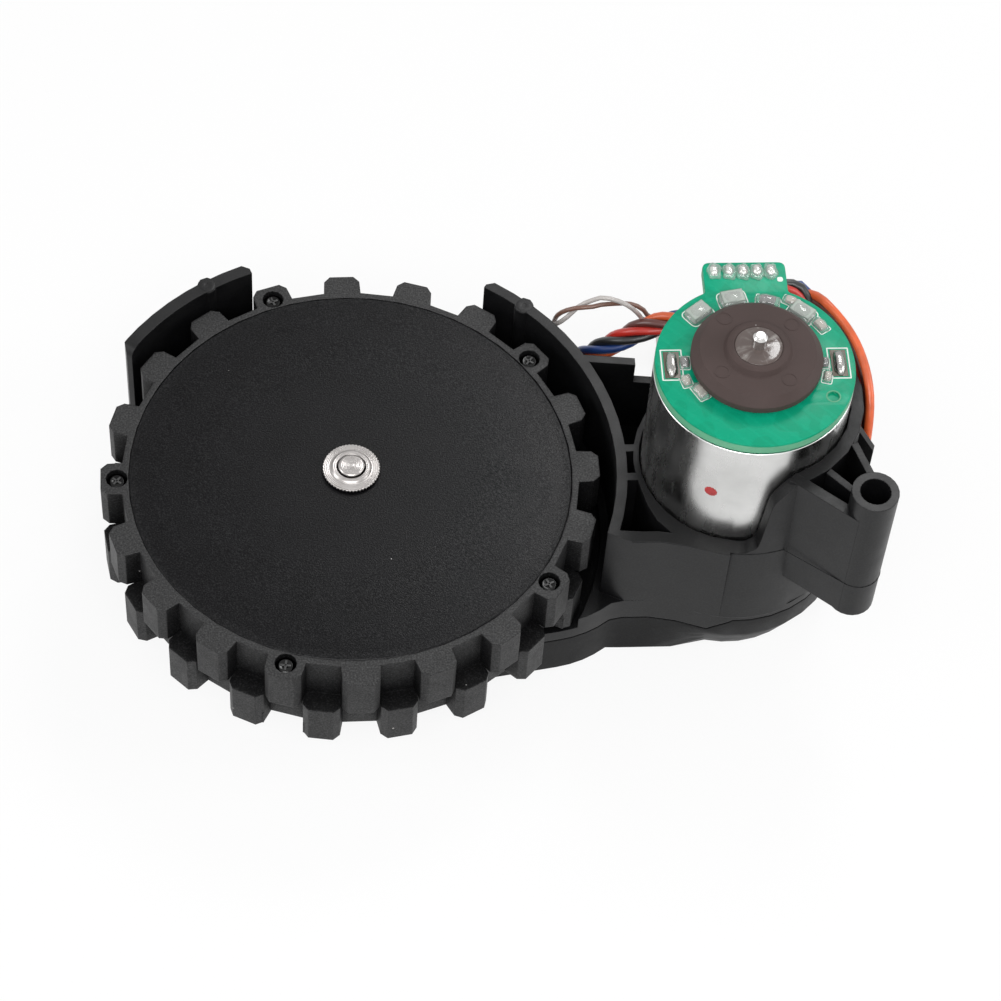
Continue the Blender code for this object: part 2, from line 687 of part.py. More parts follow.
def build_frame():
    """Main moulding: tray, wheel walls, motor cup, screw bracket and their webs."""
    frame = prism("housing_frame", [case_outline()], SEAM_Z, DECK_TOP, BLACK_MOULDING)
    add(frame, prism("tray_sector", [band(12.0, WALL_OUTER, RIGHT_WALL_FROM, LEFT_WALL_TO, 24)],
                     SEAM_Z, DECK_TOP))
    for i, (x, y) in enumerate(cover_screw_places()[2:]):
        add(frame, cylinder("frame_ear_%d" % i, POST_RADIUS + 0.4, SEAM_Z, TRAY_TOP, centre=(x, y),
                            steps=16))
    cut(frame, cylinder("wheel_pocket", POCKET_RADIUS, TRAY_TOP, WALL_TOP, steps=56))
    seat = BUSH_RADIUS + BUSH_SEAT_WALL
    add(frame, cylinder("bush_seat", seat, SEAM_Z + 0.5, SEAM_Z + BUSH_LENGTH, steps=24))
    add(frame, prism("right_wall", [right_wall_outline()], DECK_TOP - EMBED, WALL_TOP))
    left = band(WALL_INNER - LEFT_WALL_SET_IN, WALL_OUTER, LEFT_WALL_FROM, LEFT_WALL_TO, 7, WALL_END_CHAMFER)
    left_wall = prism("left_wall", [left], DECK_TOP - EMBED, WALL_TOP)
    cut(left_wall, end_fillet("left_wall_fillet", LEFT_WALL_TO, LEFT_WALL_FILLET))
    add(frame, left_wall)
    for name, angle in (("right_rib", RIGHT_RIB_ANGLE), ("left_rib", LEFT_RIB_ANGLE)):
        spot = polar((WALL_INNER + WALL_OUTER) / 2, angle)
        add(frame, cylinder(name, WALL_RIB_RADIUS, DECK_TOP - EMBED, WALL_TOP, centre=spot, steps=8))
    add(frame, prism("front_wall", [front_wall_outline()], DECK_TOP - EMBED, WALL_TOP))
    add_back_wall(frame)
    add(frame, build_cup())
    for i, offset in enumerate(WEB_OFFSETS):
        reach = MOTOR_X - CUP_INNER - WALL_INNER
        spot = (WALL_INNER + reach / 2 + 0.1, offset, (DECK_TOP + WALL_TOP) / 2 - EMBED / 2)
        size = (reach - 0.9, WEB_THICK, WALL_TOP - DECK_TOP + EMBED)
        add(frame, box("cup_web_%d" % i, size, spot))
    add_bracket(frame)
    cut(frame, seam_tool("frame_seam", 0.0, False))
    cut(frame, cylinder("bush_hole", BUSH_RADIUS + BUSH_GAP, 0.0, DECK_TOP + 2.0, steps=24))
    cut(frame, cylinder("bearing_hole", BEARING_RADIUS + BEARING_GAP, 0.0, CAN_TOP,
                        centre=MOTOR_AXIS, steps=20))
    cut(frame, cylinder("tube_bore", TUBE_BORE, 0.0, CAN_TOP * 2, centre=TUBE_AXIS, steps=20))
    for i, axis in enumerate((SECOND_AXIS, FIRST_AXIS)):
        cut(frame, cylinder("pin_seat_%d" % i, GEAR_PIN_RADIUS + GEAR_BORE_GAP, 0.0,
                            SEAM_Z + GEAR_PIN_SINK, centre=axis, steps=8))
    for i, spot in enumerate(cover_screw_places()):
        cut(frame, cylinder("frame_pilot_%d" % i, COVER_SCREW_SHANK + SCREW_HOLE_GAP, 0.0,
                            COVER_SCREW_HEAD_HEIGHT + COVER_SCREW_LENGTH + 0.3, centre=spot, steps=8))
    return frame


def right_wall_outline():
    """Outline of the right wheel wall, square at the front and chamfered at the back."""
    lean = math.degrees(WALL_END_CHAMFER / WALL_OUTER)
    points = arc(WALL_OUTER, RIGHT_WALL_FROM, RIGHT_WALL_TO - lean, 15)
    points.append(polar(WALL_OUTER - WALL_END_CHAMFER, RIGHT_WALL_TO))
    return points + arc(WALL_INNER, RIGHT_WALL_TO, RIGHT_WALL_FROM, 15)


def front_wall_outline():
    """Outline of the wall that joins the right wheel wall's end to the motor cup."""
    corner = wall_corner()
    low = FRONT_WALL_Y + FRONT_WALL_THICK
    turn = corner[0] + FRONT_WALL_LENGTH
    points = [polar(WALL_INNER, RIGHT_WALL_FROM), corner, (turn, FRONT_WALL_Y)]
    points.append((turn + FRONT_WALL_SWEEP, FRONT_WALL_Y - FRONT_WALL_DROP))
    points += arc(CUP_OUTER, -104.0, -99.0, 1, MOTOR_AXIS)
    points += arc(CUP_INNER + 0.7, -99.0, -112.0, 2, MOTOR_AXIS)
    points.append((turn + FRONT_WALL_SWEEP - 1.5, low - 0.2))
    points.append((turn, low + 0.2))
    points.append((turn - 2.0, low + 0.2))
    points.append(polar(WALL_OUTER + 0.2, RIGHT_WALL_FROM + 1.4))
    points.append(polar(WALL_INNER + 0.5, RIGHT_WALL_FROM + 1.4))
    return points


def add_back_wall(frame):
    """Straight wall at the back, higher near the wheel wall and stepped down to the motor."""
    turn = tangent_angle(WHEEL_AXIS, WHEEL_CASE_RADIUS, MOTOR_AXIS, CUP_OUTER, 1)
    far = polar(CUP_OUTER, turn, MOTOR_AXIS)
    near = polar(WHEEL_CASE_RADIUS, turn)
    slope = (far[1] - near[1]) / (far[0] - near[0])

    def strip(start, end):
        low = near[1] + slope * (start - near[0])
        high = near[1] + slope * (end - near[0])
        return [(start, low - BACK_WALL_THICK), (end, high - BACK_WALL_THICK), (end, high), (start, low)]

    wall_x = polar(WALL_OUTER, BACK_WALL_ANGLE)[0]
    add(frame, prism("back_wall_low", [strip(wall_x, far[0])], DECK_TOP - EMBED,
                     WALL_TOP - BACK_WALL_STEP))
    add(frame, prism("back_wall_high", [strip(wall_x, MOTOR_X - BACK_WALL_STEP_SETBACK)], DECK_TOP - EMBED, WALL_TOP))


def add_bracket(frame):
    """Screw tube held off the cup by a front plate, two ribs and a floor."""
    reach = CUP_OUTER - 0.6
    root = polar(CUP_OUTER - 0.1, PLATE_CUP_ANGLE, MOTOR_AXIS)
    dx = TUBE_AXIS[0] - root[0]
    dy = TUBE_AXIS[1] - root[1]
    line = math.degrees(math.atan2(dy, dx) - math.asin(TUBE_RADIUS / math.hypot(dx, dy)))
    touch = polar(TUBE_RADIUS, line - 90.0, TUBE_AXIS)
    inward = polar(BRACKET_PLATE, line + 90.0)
    back = polar(2.0, line + 180.0)
    plate = [(root[0] + back[0], root[1] + back[1]), touch, (touch[0] + inward[0], touch[1] + inward[1]),
             (root[0] + back[0] + inward[0], root[1] + back[1] + inward[1])]
    add(frame, prism("bracket_plate", [plate], BRACKET_BOTTOM, BRACKET_TOP))
    ends = []
    for i, (cup_angle, tube_angle) in enumerate(zip(RIB_CUP_ANGLES, RIB_TUBE_ANGLES)):
        start = polar(reach, cup_angle, MOTOR_AXIS)
        end = polar(TUBE_RADIUS - 0.3, tube_angle, TUBE_AXIS)
        length = math.hypot(end[0] - start[0], end[1] - start[1])
        turn = math.degrees(math.atan2(end[1] - start[1], end[0] - start[0]))
        middle = ((start[0] + end[0]) / 2, (start[1] + end[1]) / 2, (BRACKET_BOTTOM + BRACKET_TOP) / 2)
        add(frame, box("bracket_rib_%d" % i, (length, BRACKET_RIB, BRACKET_HEIGHT), middle, turn=turn))
        ends.append((start, end))
    floor = [plate[0], touch, TUBE_AXIS, ends[1][1], ends[1][0], polar(reach, -50.0, MOTOR_AXIS)]
    add(frame, prism("bracket_floor", [floor], BRACKET_BOTTOM, BRACKET_BOTTOM + BRACKET_FLOOR))
    add(frame, cylinder("fixing_tube", TUBE_RADIUS, BRACKET_BOTTOM - TUBE_DROP, BRACKET_TOP + TUBE_RISE,
                        centre=TUBE_AXIS, steps=24))
    foot = CUP_INNER + 1.0
    edge = CUP_INNER + CUP_WALL_TOP + FIN_REACH
    fin = [(foot, BRACKET_TOP - 0.6), (edge, BRACKET_TOP - FIN_DROP), (edge, BRACKET_TOP - FIN_HEIGHT),
           (foot, BRACKET_TOP - FIN_HEIGHT - 2.5)]
    add(frame, upright(fin, FIN_THICK, FIN_ANGLE, "collar_fin", centre=MOTOR_AXIS))


def build_cover():
    """Lower cover: a shallow shell, set in under the motor, with pin seats and screw posts."""
    rings = [(case_outline(COVER_EDGE, COVER_TUCKS[0][1]), COVER_TUCKS[0][0])]
    rings += [(case_outline(0.0, tuck), height) for height, tuck in COVER_TUCKS[1:]]
    rings.append((case_outline(), SEAM_Z + SEAM_RISE + 1.0))
    cover = loft("lower_cover", rings, BLACK_COVER)
    for i, spot in enumerate(cover_screw_places()[2:]):
        add(cover, cylinder("cover_ear_%d" % i, POST_RADIUS, 0.0, SEAM_Z + 0.5, centre=spot, steps=12))
    cavity = prism("gear_cavity", [case_outline(COVER_WALL, CAVITY_TUCK)], COVER_FLOOR, SEAM_Z + SEAM_RISE + 2.0)
    for i, spot in enumerate(cover_screw_places()[:2]):
        cut(cavity, cylinder("cavity_post_%d" % i, POST_RADIUS, 0.0, CAN_TOP, centre=spot, steps=10))
    for name, axis, radius, bore in (("axle_seat", WHEEL_AXIS, 3.6, AXLE_RADIUS),
                                     ("second_seat", SECOND_AXIS, 2.4, GEAR_PIN_RADIUS),
                                     ("first_seat", FIRST_AXIS, 2.4, GEAR_PIN_RADIUS)):
        cut(cavity, cylinder(name + "_boss", radius, 0.0, COVER_FLOOR + GEAR_LIFT - 0.2, centre=axis,
                             steps=12))
        cut(cover, cylinder(name + "_hole", bore + GEAR_BORE_GAP, 0.5, SEAM_Z, centre=axis, steps=12))
    cut(cover, cavity)
    cut(cover, seam_tool("cover_seam", -SEAT_GAP, True))
    for i, spot in enumerate(cover_screw_places()):
        cut(cover, cylinder("cover_hole_%d" % i, COVER_SCREW_SHANK + SCREW_HOLE_GAP, -1.0, CAN_TOP,
                            centre=spot, steps=8))
        cut(cover, cylinder("cover_sink_%d" % i, COVER_SCREW_HEAD + SCREW_HOLE_GAP, -1.0,
                            COVER_SCREW_HEAD_HEIGHT + 0.5, centre=spot, steps=10))
    return cover


def build_cover_screws():
    """Four self-tapping screws that hold the cover to the frame."""
    for i, spot in enumerate(cover_screw_places()):
        low = 0.2
        head = low + COVER_SCREW_HEAD_HEIGHT
        tip = low + COVER_SCREW_LENGTH
        profile = [(0.0, tip), (COVER_SCREW_SHANK, tip - 1.0), (COVER_SCREW_SHANK, head),
                   (COVER_SCREW_HEAD, head), (COVER_SCREW_HEAD - 0.4, low), (0.0, low)]
        turned("cover_screw_%d" % (i + 1), profile, ZINC, spot, steps=10)


def build_gears():
    """Gear train from the wheel's output gear to the motor pinion, meshed at rest."""
    output_phase = 0.0
    second_small = mesh_phase(WHEEL_AXIS, OUTPUT_TEETH, output_phase, SECOND_AXIS, SECOND_PINION_TEETH)
    second_large = 0.0
    first_small = mesh_phase(SECOND_AXIS, SECOND_GEAR_TEETH, second_large, FIRST_AXIS,
                             FIRST_PINION_TEETH)
    first_large = 0.0
    pinion = mesh_phase(FIRST_AXIS, FIRST_GEAR_TEETH, first_large, MOTOR_AXIS, MOTOR_PINION_TEETH)
    build_output_gear(output_phase)
    bore = GEAR_PIN_RADIUS + GEAR_BORE_GAP
    build_compound("second_gear", SECOND_AXIS, bore,
                   (SECOND_PINION_TEETH, OUTPUT_MODULE, second_small, OUTPUT_Z),
                   (SECOND_GEAR_TEETH, SECOND_MODULE, second_large, SECOND_Z, SECOND_Z + STAGE_FACE))
    build_compound("first_gear", FIRST_AXIS, bore,
                   (FIRST_PINION_TEETH, SECOND_MODULE, first_small, SECOND_Z),
                   (FIRST_GEAR_TEETH, FIRST_MODULE, first_large, FIRST_Z, FIRST_Z + STAGE_FACE))
    outline = gear_outline(MOTOR_PINION_TEETH, FIRST_MODULE, pinion)
    prism("motor_pinion", [outline, circle(SHAFT_RADIUS + 0.2, 16)], FIRST_Z, FIRST_Z + STAGE_FACE,
          BRASS, MOTOR_AXIS)
    for name, axis in (("second_gear_pin", SECOND_AXIS), ("first_gear_pin", FIRST_AXIS)):
        low = 0.7
        high = SEAM_Z + GEAR_PIN_SINK - 0.2
        cylinder(name, GEAR_PIN_RADIUS, low, high, STEEL, axis, steps=16)


def build_output_gear(phase):
    """Output gear with a hub that rises through the frame and ends in a hexagon."""
    outline = gear_outline(OUTPUT_TEETH, OUTPUT_MODULE, phase)
    bore = AXLE_RADIUS + AXLE_BORE_GAP
    gear = prism("output_gear", [outline], OUTPUT_Z, OUTPUT_Z + OUTPUT_FACE, GEAR_PLASTIC)
    hub_top = SEAM_Z + BUSH_LENGTH + 0.6
    add(gear, cylinder("output_hub", HUB_RADIUS, OUTPUT_Z + 0.5, hub_top, steps=32))
    add(gear, prism("output_hex", [circle(HUB_HEX_RADIUS, 6)], hub_top - 0.6, hub_top + HUB_HEX_LENGTH))
    cut(gear, cylinder("output_bore", bore, 0.0, CAN_TOP, steps=20))
    return gear


def build_compound(name, axis, bore, small, large):
    """Two gears moulded as one, the pinion standing on the face of the large one."""
    teeth, module, phase, low = small
    other_teeth, other_module, other_phase, other_low, other_high = large
    body = prism(name, [gear_outline(other_teeth, other_module, other_phase)], other_low, other_high,
                 GEAR_PLASTIC, axis)
    add(body, prism(name + "_pinion", [gear_outline(teeth, module, phase)], low, other_low + 0.3,
                    centre=axis))
    cut(body, cylinder(name + "_bore", bore, 0.0, CAN_TOP, centre=axis, steps=12))
    return body


def lug_row(shift):
    """Outline of one tread row: twenty tapered lugs with chamfered outer corners."""
    half_base = LUG_BASE_WIDTH / 2
    half_tip = LUG_TIP_WIDTH / 2
    foot = math.sqrt(TREAD_RADIUS ** 2 - half_base ** 2)
    section = ((foot, -half_base), (LUG_TIP_RADIUS - LUG_CHAMFER, -half_base + 0.1),
               (LUG_TIP_RADIUS, -half_tip), (LUG_TIP_RADIUS, half_tip),
               (LUG_TIP_RADIUS - LUG_CHAMFER, half_base - 0.1), (foot, half_base))
    points = []
    for i in range(LUG_COUNT):
        turn = math.radians(FIRST_LUG_ANGLE + shift + 360.0 / LUG_COUNT * i)
        for reach, side in section:
            points.append((reach * math.cos(turn) - side * math.sin(turn),
                           reach * math.sin(turn) + side * math.cos(turn)))
    return points


def screw_angles():
    """Angles of the wheel screws, each in the middle of a lug of the upper row."""
    return [FIRST_LUG_ANGLE + 360.0 / SCREW_COUNT * i for i in range(SCREW_COUNT)]


def build_tyre():
    """Tread ring with two staggered rows of lugs and a seat for the disc."""
    middle = (TYRE_BOTTOM + TYRE_TOP) / 2
    tyre = prism("tyre", [lug_row(0.0)], middle, TYRE_TOP, RUBBER)
    add(tyre, prism("tyre_lower_row", [lug_row(180.0 / LUG_COUNT)], TYRE_BOTTOM, middle))
    for i, angle in enumerate(screw_angles()):
        add(tyre, cylinder("tyre_boss_%d" % i, SCREW_BOSS_RADIUS, TYRE_BOTTOM + EAR_HEIGHT + SEAT_GAP,
                           middle + 1.0, centre=polar(SCREW_CIRCLE, angle), steps=12))
    cut(tyre, cylinder("tyre_bore", TYRE_BORE, 0.0, TYRE_TOP + 1.0, steps=48))
    cut(tyre, cylinder("disc_seat", DISC_RADIUS + SEAT_GAP, TYRE_TOP - DISC_RECESS, TYRE_TOP + 1.0,
                       steps=48))
    for i, angle in enumerate(screw_angles()):
        spot = polar(SCREW_CIRCLE, angle)
        cut(tyre, ear_shape("tyre_notch_%d" % i, angle, SEAT_GAP, TYRE_BOTTOM - 1.0,
                            TYRE_BOTTOM + EAR_HEIGHT + SEAT_GAP))
        cut(tyre, cylinder("tyre_hole_%d" % i, SCREW_SHANK_RADIUS + SCREW_HOLE_GAP, 0.0,
                           TYRE_TOP + 1.0, centre=spot, steps=8))
        cut(tyre, cylinder("tyre_sink_%d" % i, SCREW_HEAD_RADIUS + SCREW_HOLE_GAP,
                           TYRE_TOP - SCREW_HEAD_SINK - SCREW_HEAD_HEIGHT - 0.2, TYRE_TOP + 1.0,
                           centre=spot, steps=12))
    return tyre


def ear_shape(name, angle, grow, low, high):
    """Round-ended radial ear under a wheel screw."""
    radius = SCREW_BOSS_RADIUS + grow
    inner = RIM_RADIUS - 1.0
    points = [(inner, -radius), (SCREW_CIRCLE, -radius)]
    points += arc(radius, -67.5, 67.5, 6, (SCREW_CIRCLE, 0.0))
    points += [(SCREW_CIRCLE, radius), (inner, radius)]
    return prism(name, [points], low, high, turn=Matrix.Rotation(math.radians(angle), 4, "Z"))


def build_rim():
    """Wheel rim: a drum under the tyre, a web, a hub socket and five screw ears."""
    hub = HUB_HEX_RADIUS + HEX_GAP + RIM_HUB_WALL
    web_low = SEAM_Z + BUSH_LENGTH + 0.7
    web_high = web_low + RIM_WEB
    low = TYRE_BOTTOM + 0.1
    top = low + RIM_DEPTH
    inner = RIM_RADIUS - RIM_WALL
    hub_top = web_low + HUB_HEX_LENGTH
    profile = [(0.0, hub_top), (hub, hub_top), (hub, web_high), (inner, web_high), (inner, top),
               (RIM_RADIUS, top), (RIM_RADIUS, low), (inner, low), (inner, web_low), (0.0, web_low)]
    rim = turned("wheel_rim", profile, BLACK_MOULDING, steps=40)
    for i, angle in enumerate(screw_angles()):
        add(rim, ear_shape("rim_ear_%d" % i, angle, 0.0, low, TYRE_BOTTOM + EAR_HEIGHT))
    cut(rim, prism("rim_socket", [circle(HUB_HEX_RADIUS + HEX_GAP, 6)], 0.0, CAN_TOP))
    for i, angle in enumerate(screw_angles()):
        cut(rim, cylinder("rim_hole_%d" % i, SCREW_SHANK_RADIUS + SCREW_HOLE_GAP, 0.0, TYRE_TOP,
                          centre=polar(SCREW_CIRCLE, angle), steps=8))
    return rim


def build_disc():
    """Satin cover disc: a shallow dome with a bevelled edge, stepped to sit on the rim."""
    rim_top = TYRE_BOTTOM + 0.1 + RIM_DEPTH
    low = rim_top + SEAT_GAP
    ledge = TYRE_TOP - DISC_RECESS + SEAT_GAP
    bore = AXLE_RADIUS + 0.5
    flat = DISC_RADIUS - DISC_BEVEL
    crown = TYRE_TOP + DISC_DOME
    steps = 3
    dome = [(bore + (flat - bore) * i / steps, crown - 0.35 * (i / steps) ** 2) for i in range(steps + 1)]
    profile = dome + [(DISC_RADIUS - 0.4, TYRE_TOP), (DISC_RADIUS, TYRE_TOP - DISC_BEVEL_DROP),
                      (DISC_RADIUS, ledge), (RIM_RADIUS, ledge), (RIM_RADIUS, low), (bore, low)]
    return turned("wheel_disc", profile, SATIN_DISC, steps=34)


def build_wheel_screws():
    """Five small countersunk screws through the tread lugs into the rim ears."""
    top = TYRE_TOP - SCREW_HEAD_SINK
    neck = top - SCREW_HEAD_HEIGHT
    tip = TYRE_BOTTOM + 0.5
    profile = [(0.0, top), (SCREW_HEAD_RADIUS, top), (SCREW_HEAD_RADIUS, neck),
               (SCREW_SHANK_RADIUS, neck), (SCREW_SHANK_RADIUS, tip + 0.6), (0.0, tip)]
    for i, angle in enumerate(screw_angles()):
        turned("wheel_screw_%d" % (i + 1), profile, BLACK_STEEL, polar(SCREW_CIRCLE, angle), steps=10)


def build_axle():
    """Fixed axle pin, its toothed push-on washer and the bronze bush of the hub."""
    top = TYRE_TOP + DISC_DOME + AXLE_PROUD
    profile = [(0.0, top), (AXLE_RADIUS - 0.3, top), (AXLE_RADIUS, top - 0.3), (AXLE_RADIUS, 0.6),
               (0.0, 0.6)]
    turned("axle_pin", profile, STEEL, steps=20)
    low = TYRE_TOP + DISC_DOME + SEAT_GAP
    count = WASHER_TEETH * 2
    star = [polar(WASHER_RADIUS - WASHER_TOOTH * (i % 2), 360.0 * i / count) for i in range(count)]
    washer = prism("axle_washer", [star], low, low + WASHER_THICK, STEEL)
    add(washer, cylinder("washer_collar", AXLE_RADIUS + 0.75, low + 0.1, low + WASHER_THICK + 0.3,
                         steps=20))
    cut(washer, cylinder("washer_bore", AXLE_RADIUS + 0.1, 0.0, CAN_TOP, steps=20))
    bottom = SEAM_Z + 0.4
    high = SEAM_Z + BUSH_LENGTH
    turned("hub_bush", [(BUSH_RADIUS, high), (BUSH_RADIUS, bottom), (BUSH_BORE, bottom),
                        (BUSH_BORE, high)], BRONZE, steps=24)


def build_motor():
    """Motor can with its end bell, brush terminals and through shaft."""
    bore = SHAFT_RADIUS + SHAFT_GAP
    mouth = CAN_RADIUS - CAN_LIP
    nose = SEAM_Z + SEAM_RISE - 0.2
    can = [(CAN_RADIUS - 0.25, CAN_TOP), (CAN_RADIUS, CAN_TOP - 0.3), (CAN_RADIUS, CAN_BOTTOM + CAN_EDGE),
           (CAN_RADIUS - 0.4, CAN_BOTTOM + 0.3), (CAN_RADIUS - CAN_EDGE, CAN_BOTTOM),
           (BEARING_RADIUS, CAN_BOTTOM), (BEARING_RADIUS, nose), (bore, nose),
           (bore, CAN_TOP - CAN_MOUTH), (mouth, CAN_TOP - CAN_MOUTH), (mouth, CAN_TOP)]
    turned("motor_can", can, ZINC, MOTOR_AXIS, steps=32)
    bell_low = CAN_TOP - CAN_MOUTH + SEAT_GAP
    bell = turned("motor_end_bell", [(mouth - SEAT_GAP, CAN_TOP), (mouth - SEAT_GAP, bell_low),
                                     (bore, bell_low), (bore, CAN_TOP)], WHITE_NYLON, MOTOR_AXIS, steps=32)
    top = BOARD_TOP + TERMINAL_PROUD
    foot = CAN_TOP - TERMINAL_FOOT
    for side, name in ((-1, "terminal_left"), (1, "terminal_right")):
        x = MOTOR_X + side * TERMINAL_REACH
        size = (TERMINAL_THICK, TERMINAL_WIDTH, top - foot)
        box(name, size, (0.0, 0.0, (top + foot) / 2), TIN, centre=(x, 0.0))
        slot = (TERMINAL_THICK + 2 * SLOT_GAP, TERMINAL_WIDTH + 2 * SLOT_GAP, TERMINAL_FOOT + 1.0)
        cut(bell, box(name + "_socket", slot, (x, 0.0, foot - SLOT_GAP + slot[2] / 2)))
    shaft_low = FIRST_Z - 0.2
    profile = [(0.0, SHAFT_TOP), (SHAFT_RADIUS - 0.2, SHAFT_TOP), (SHAFT_RADIUS, SHAFT_TOP - 0.2),
               (SHAFT_RADIUS, shaft_low), (0.0, shaft_low)]
    turned("motor_shaft", profile, STEEL, MOTOR_AXIS, steps=16)


def build_encoder():
    """Encoder board on the motor's tail with its sensors, and the magnet disc above it."""
    half = BOARD_TAB_WIDTH / 2
    root = math.degrees(math.acos(half / BOARD_RADIUS))
    outline = arc(BOARD_RADIUS, 180.0 - root, 360.0 + root, 36)
    outline += [(half, BOARD_TAB_REACH - BOARD_TAB_CORNER), (half - BOARD_TAB_CORNER, BOARD_TAB_REACH),
                (BOARD_TAB_CORNER - half, BOARD_TAB_REACH), (-half, BOARD_TAB_REACH - BOARD_TAB_CORNER)]
    holes = [circle(BOARD_BORE, 24),
             circle(BOARD_HOLE_RADIUS, 12, polar(BOARD_HOLE_REACH, BOARD_HOLE_ANGLE))]
    for side in (-1, 1):
        x = side * TERMINAL_REACH
        wide = TERMINAL_THICK / 2 + SLOT_GAP
        long = TERMINAL_WIDTH / 2 + SLOT_GAP
        holes.append([(x - wide, -long), (x + wide, -long), (x + wide, long), (x - wide, long)])
    prism("encoder_board", [outline] + holes, BOARD_BOTTOM, BOARD_TOP, BOARD_GREEN, MOTOR_AXIS)
    for i, angle in enumerate(SENSOR_ANGLES):
        spot = polar(SENSOR_REACH, angle, MOTOR_AXIS)
        low = BOARD_TOP + 0.1
        box("hall_sensor_%d" % (i + 1), SENSOR_SIZE, (0.0, 0.0, low + SENSOR_SIZE[2] / 2), SENSOR_BLACK,
            turn=angle + 90.0, centre=spot)
    bore = SHAFT_RADIUS + 0.2
    rim = MAGNET_BOTTOM + MAGNET_RIM
    hub = MAGNET_TOP + MAGNET_HUB_HEIGHT
    profile = [(MAGNET_HUB_RADIUS - 0.3, hub), (MAGNET_HUB_RADIUS, MAGNET_TOP), (MAGNET_FACE_RADIUS, MAGNET_TOP),
               (MAGNET_RADIUS, rim), (MAGNET_RADIUS, MAGNET_BOTTOM), (bore, MAGNET_BOTTOM), (bore, hub)]
    turned("encoder_magnet", profile, MAGNET_BROWN, MOTOR_AXIS, steps=32)


def build_leads():
    """Harness of thin leads from the board, round the back of the motor to its plug."""
    x = MOTOR_X
    route = [(x + 4.5, 14.6, 44.6), (x + 8.1, 15.2, 43.7), (x + 12.7, 11.9, 42.2), (x + 15.9, 7.1, 40.2),
             (x + 17.5, 1.6, 37.0), (x + 17.6, -1.2, 32.0), (x + 17.8, 2.6, 26.5), (x + 15.4, 10.0, 23.6),
             (x + 8.9, 17.4, 23.6), (x + 2.0, 21.4, 25.8), (x - 5.0, 22.4, 28.3), (x - 10.3, 22.8, 26.6),
             (x - 15.0, 23.0, 22.8), (x - 19.0, 23.8, 18.4), (x - 21.4, 26.4, 12.6), (x - 20.5, 28.5, 6.5),
             (x - 15.5, 26.5, 2.2), (x - 8.0, 24.5, 1.9), (x + 1.0, 26.0, 1.9), (x + 7.5, 29.0, 1.9),
             (x + 9.5, 34.0, 1.9), (x + 7.0, 37.8, 2.4), (x + 2.3, 38.5, 2.7)]
    pair = [(x - 4.0, 24.5, 26.3), (x - 7.2, 25.2, 25.4), (x - 10.3, 25.5, 25.1), (x - 11.7, 25.3, 27.2),
            (x - 13.9, 25.0, 29.1), (x - 17.0, 25.0, 29.9), (x - 18.9, 25.0, 29.2), (x - 20.9, 25.0, 28.3),
            (x - 23.2, 25.5, 25.1), (x - 24.1, 27.6, 20.8), (x - 24.0, 29.4, 15.4), (x - 22.8, 30.6, 10.2),
            (x - 20.6, 31.2, 7.0)]
    tube("wire_bundle", route, BUNDLE_RADIUS, WIRE_RED)
    tube("wire_pair", pair, PAIR_RADIUS, WIRE_GREY)
    box("harness_plug", PLUG_SIZE, (0.0, 0.0, PLUG_SIZE[2] / 2), WHITE_NYLON,
        centre=(x + 1.6 - PLUG_SIZE[0] / 2, 38.5))


clear_scene()
PARTS = new_collection("wheel_module")
CUTTERS = new_collection("cutters")

# Mouldings whose joined walls share faces closely enough to need the tolerant solver
CLOSE_FACED = {"housing_frame", "tyre", "axle_washer"}

BLACK_MOULDING = new_material("black_moulding", (0.018, 0.018, 0.019), 0.46)
BLACK_COVER = new_material("black_cover", (0.020, 0.020, 0.021), 0.50)
SATIN_DISC = new_material("satin_disc", (0.014, 0.014, 0.015), 0.40)
RUBBER = new_material("rubber", (0.016, 0.016, 0.017), 0.62)
GEAR_PLASTIC = new_material("gear_plastic", (0.72, 0.70, 0.64), 0.42)
BRASS = new_material("brass", (0.70, 0.52, 0.24), 0.30, 1.0)
BRONZE = new_material("bronze", (0.55, 0.36, 0.20), 0.42, 1.0)
STEEL = new_material("steel", (0.62, 0.61, 0.59), 0.28, 1.0)
BLACK_STEEL = new_material("black_steel", (0.03, 0.03, 0.03), 0.35, 1.0)
ZINC = new_material("zinc", (0.68, 0.68, 0.67), 0.34, 1.0)
TIN = new_material("tin", (0.75, 0.75, 0.74), 0.25, 1.0)
WHITE_NYLON = new_material("white_nylon", (0.80, 0.79, 0.75), 0.45)
BOARD_GREEN = new_material("board_green", (0.02, 0.36, 0.20), 0.32)
SENSOR_BLACK = new_material("sensor_black", (0.03, 0.03, 0.03), 0.45)
MAGNET_BROWN = new_material("magnet_brown", (0.085, 0.060, 0.055), 0.55)
WIRE_RED = new_material("wire_red", (0.55, 0.06, 0.03), 0.45)
WIRE_GREY = new_material("wire_grey", (0.45, 0.42, 0.40), 0.45)

build_frame()
build_cover()
build_cover_screws()
build_gears()
build_tyre()
build_rim()
build_disc()
build_wheel_screws()
build_axle()
build_motor()
build_encoder()
build_leads()
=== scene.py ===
"""Studio scene of a robot vacuum's wheel module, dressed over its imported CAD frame."""
import json
import logging
import math
from dataclasses import dataclass, field
from enum import Enum
from typing import Optional, Sequence, Union

import bmesh
import bpy
from mathutils import Matrix, Vector

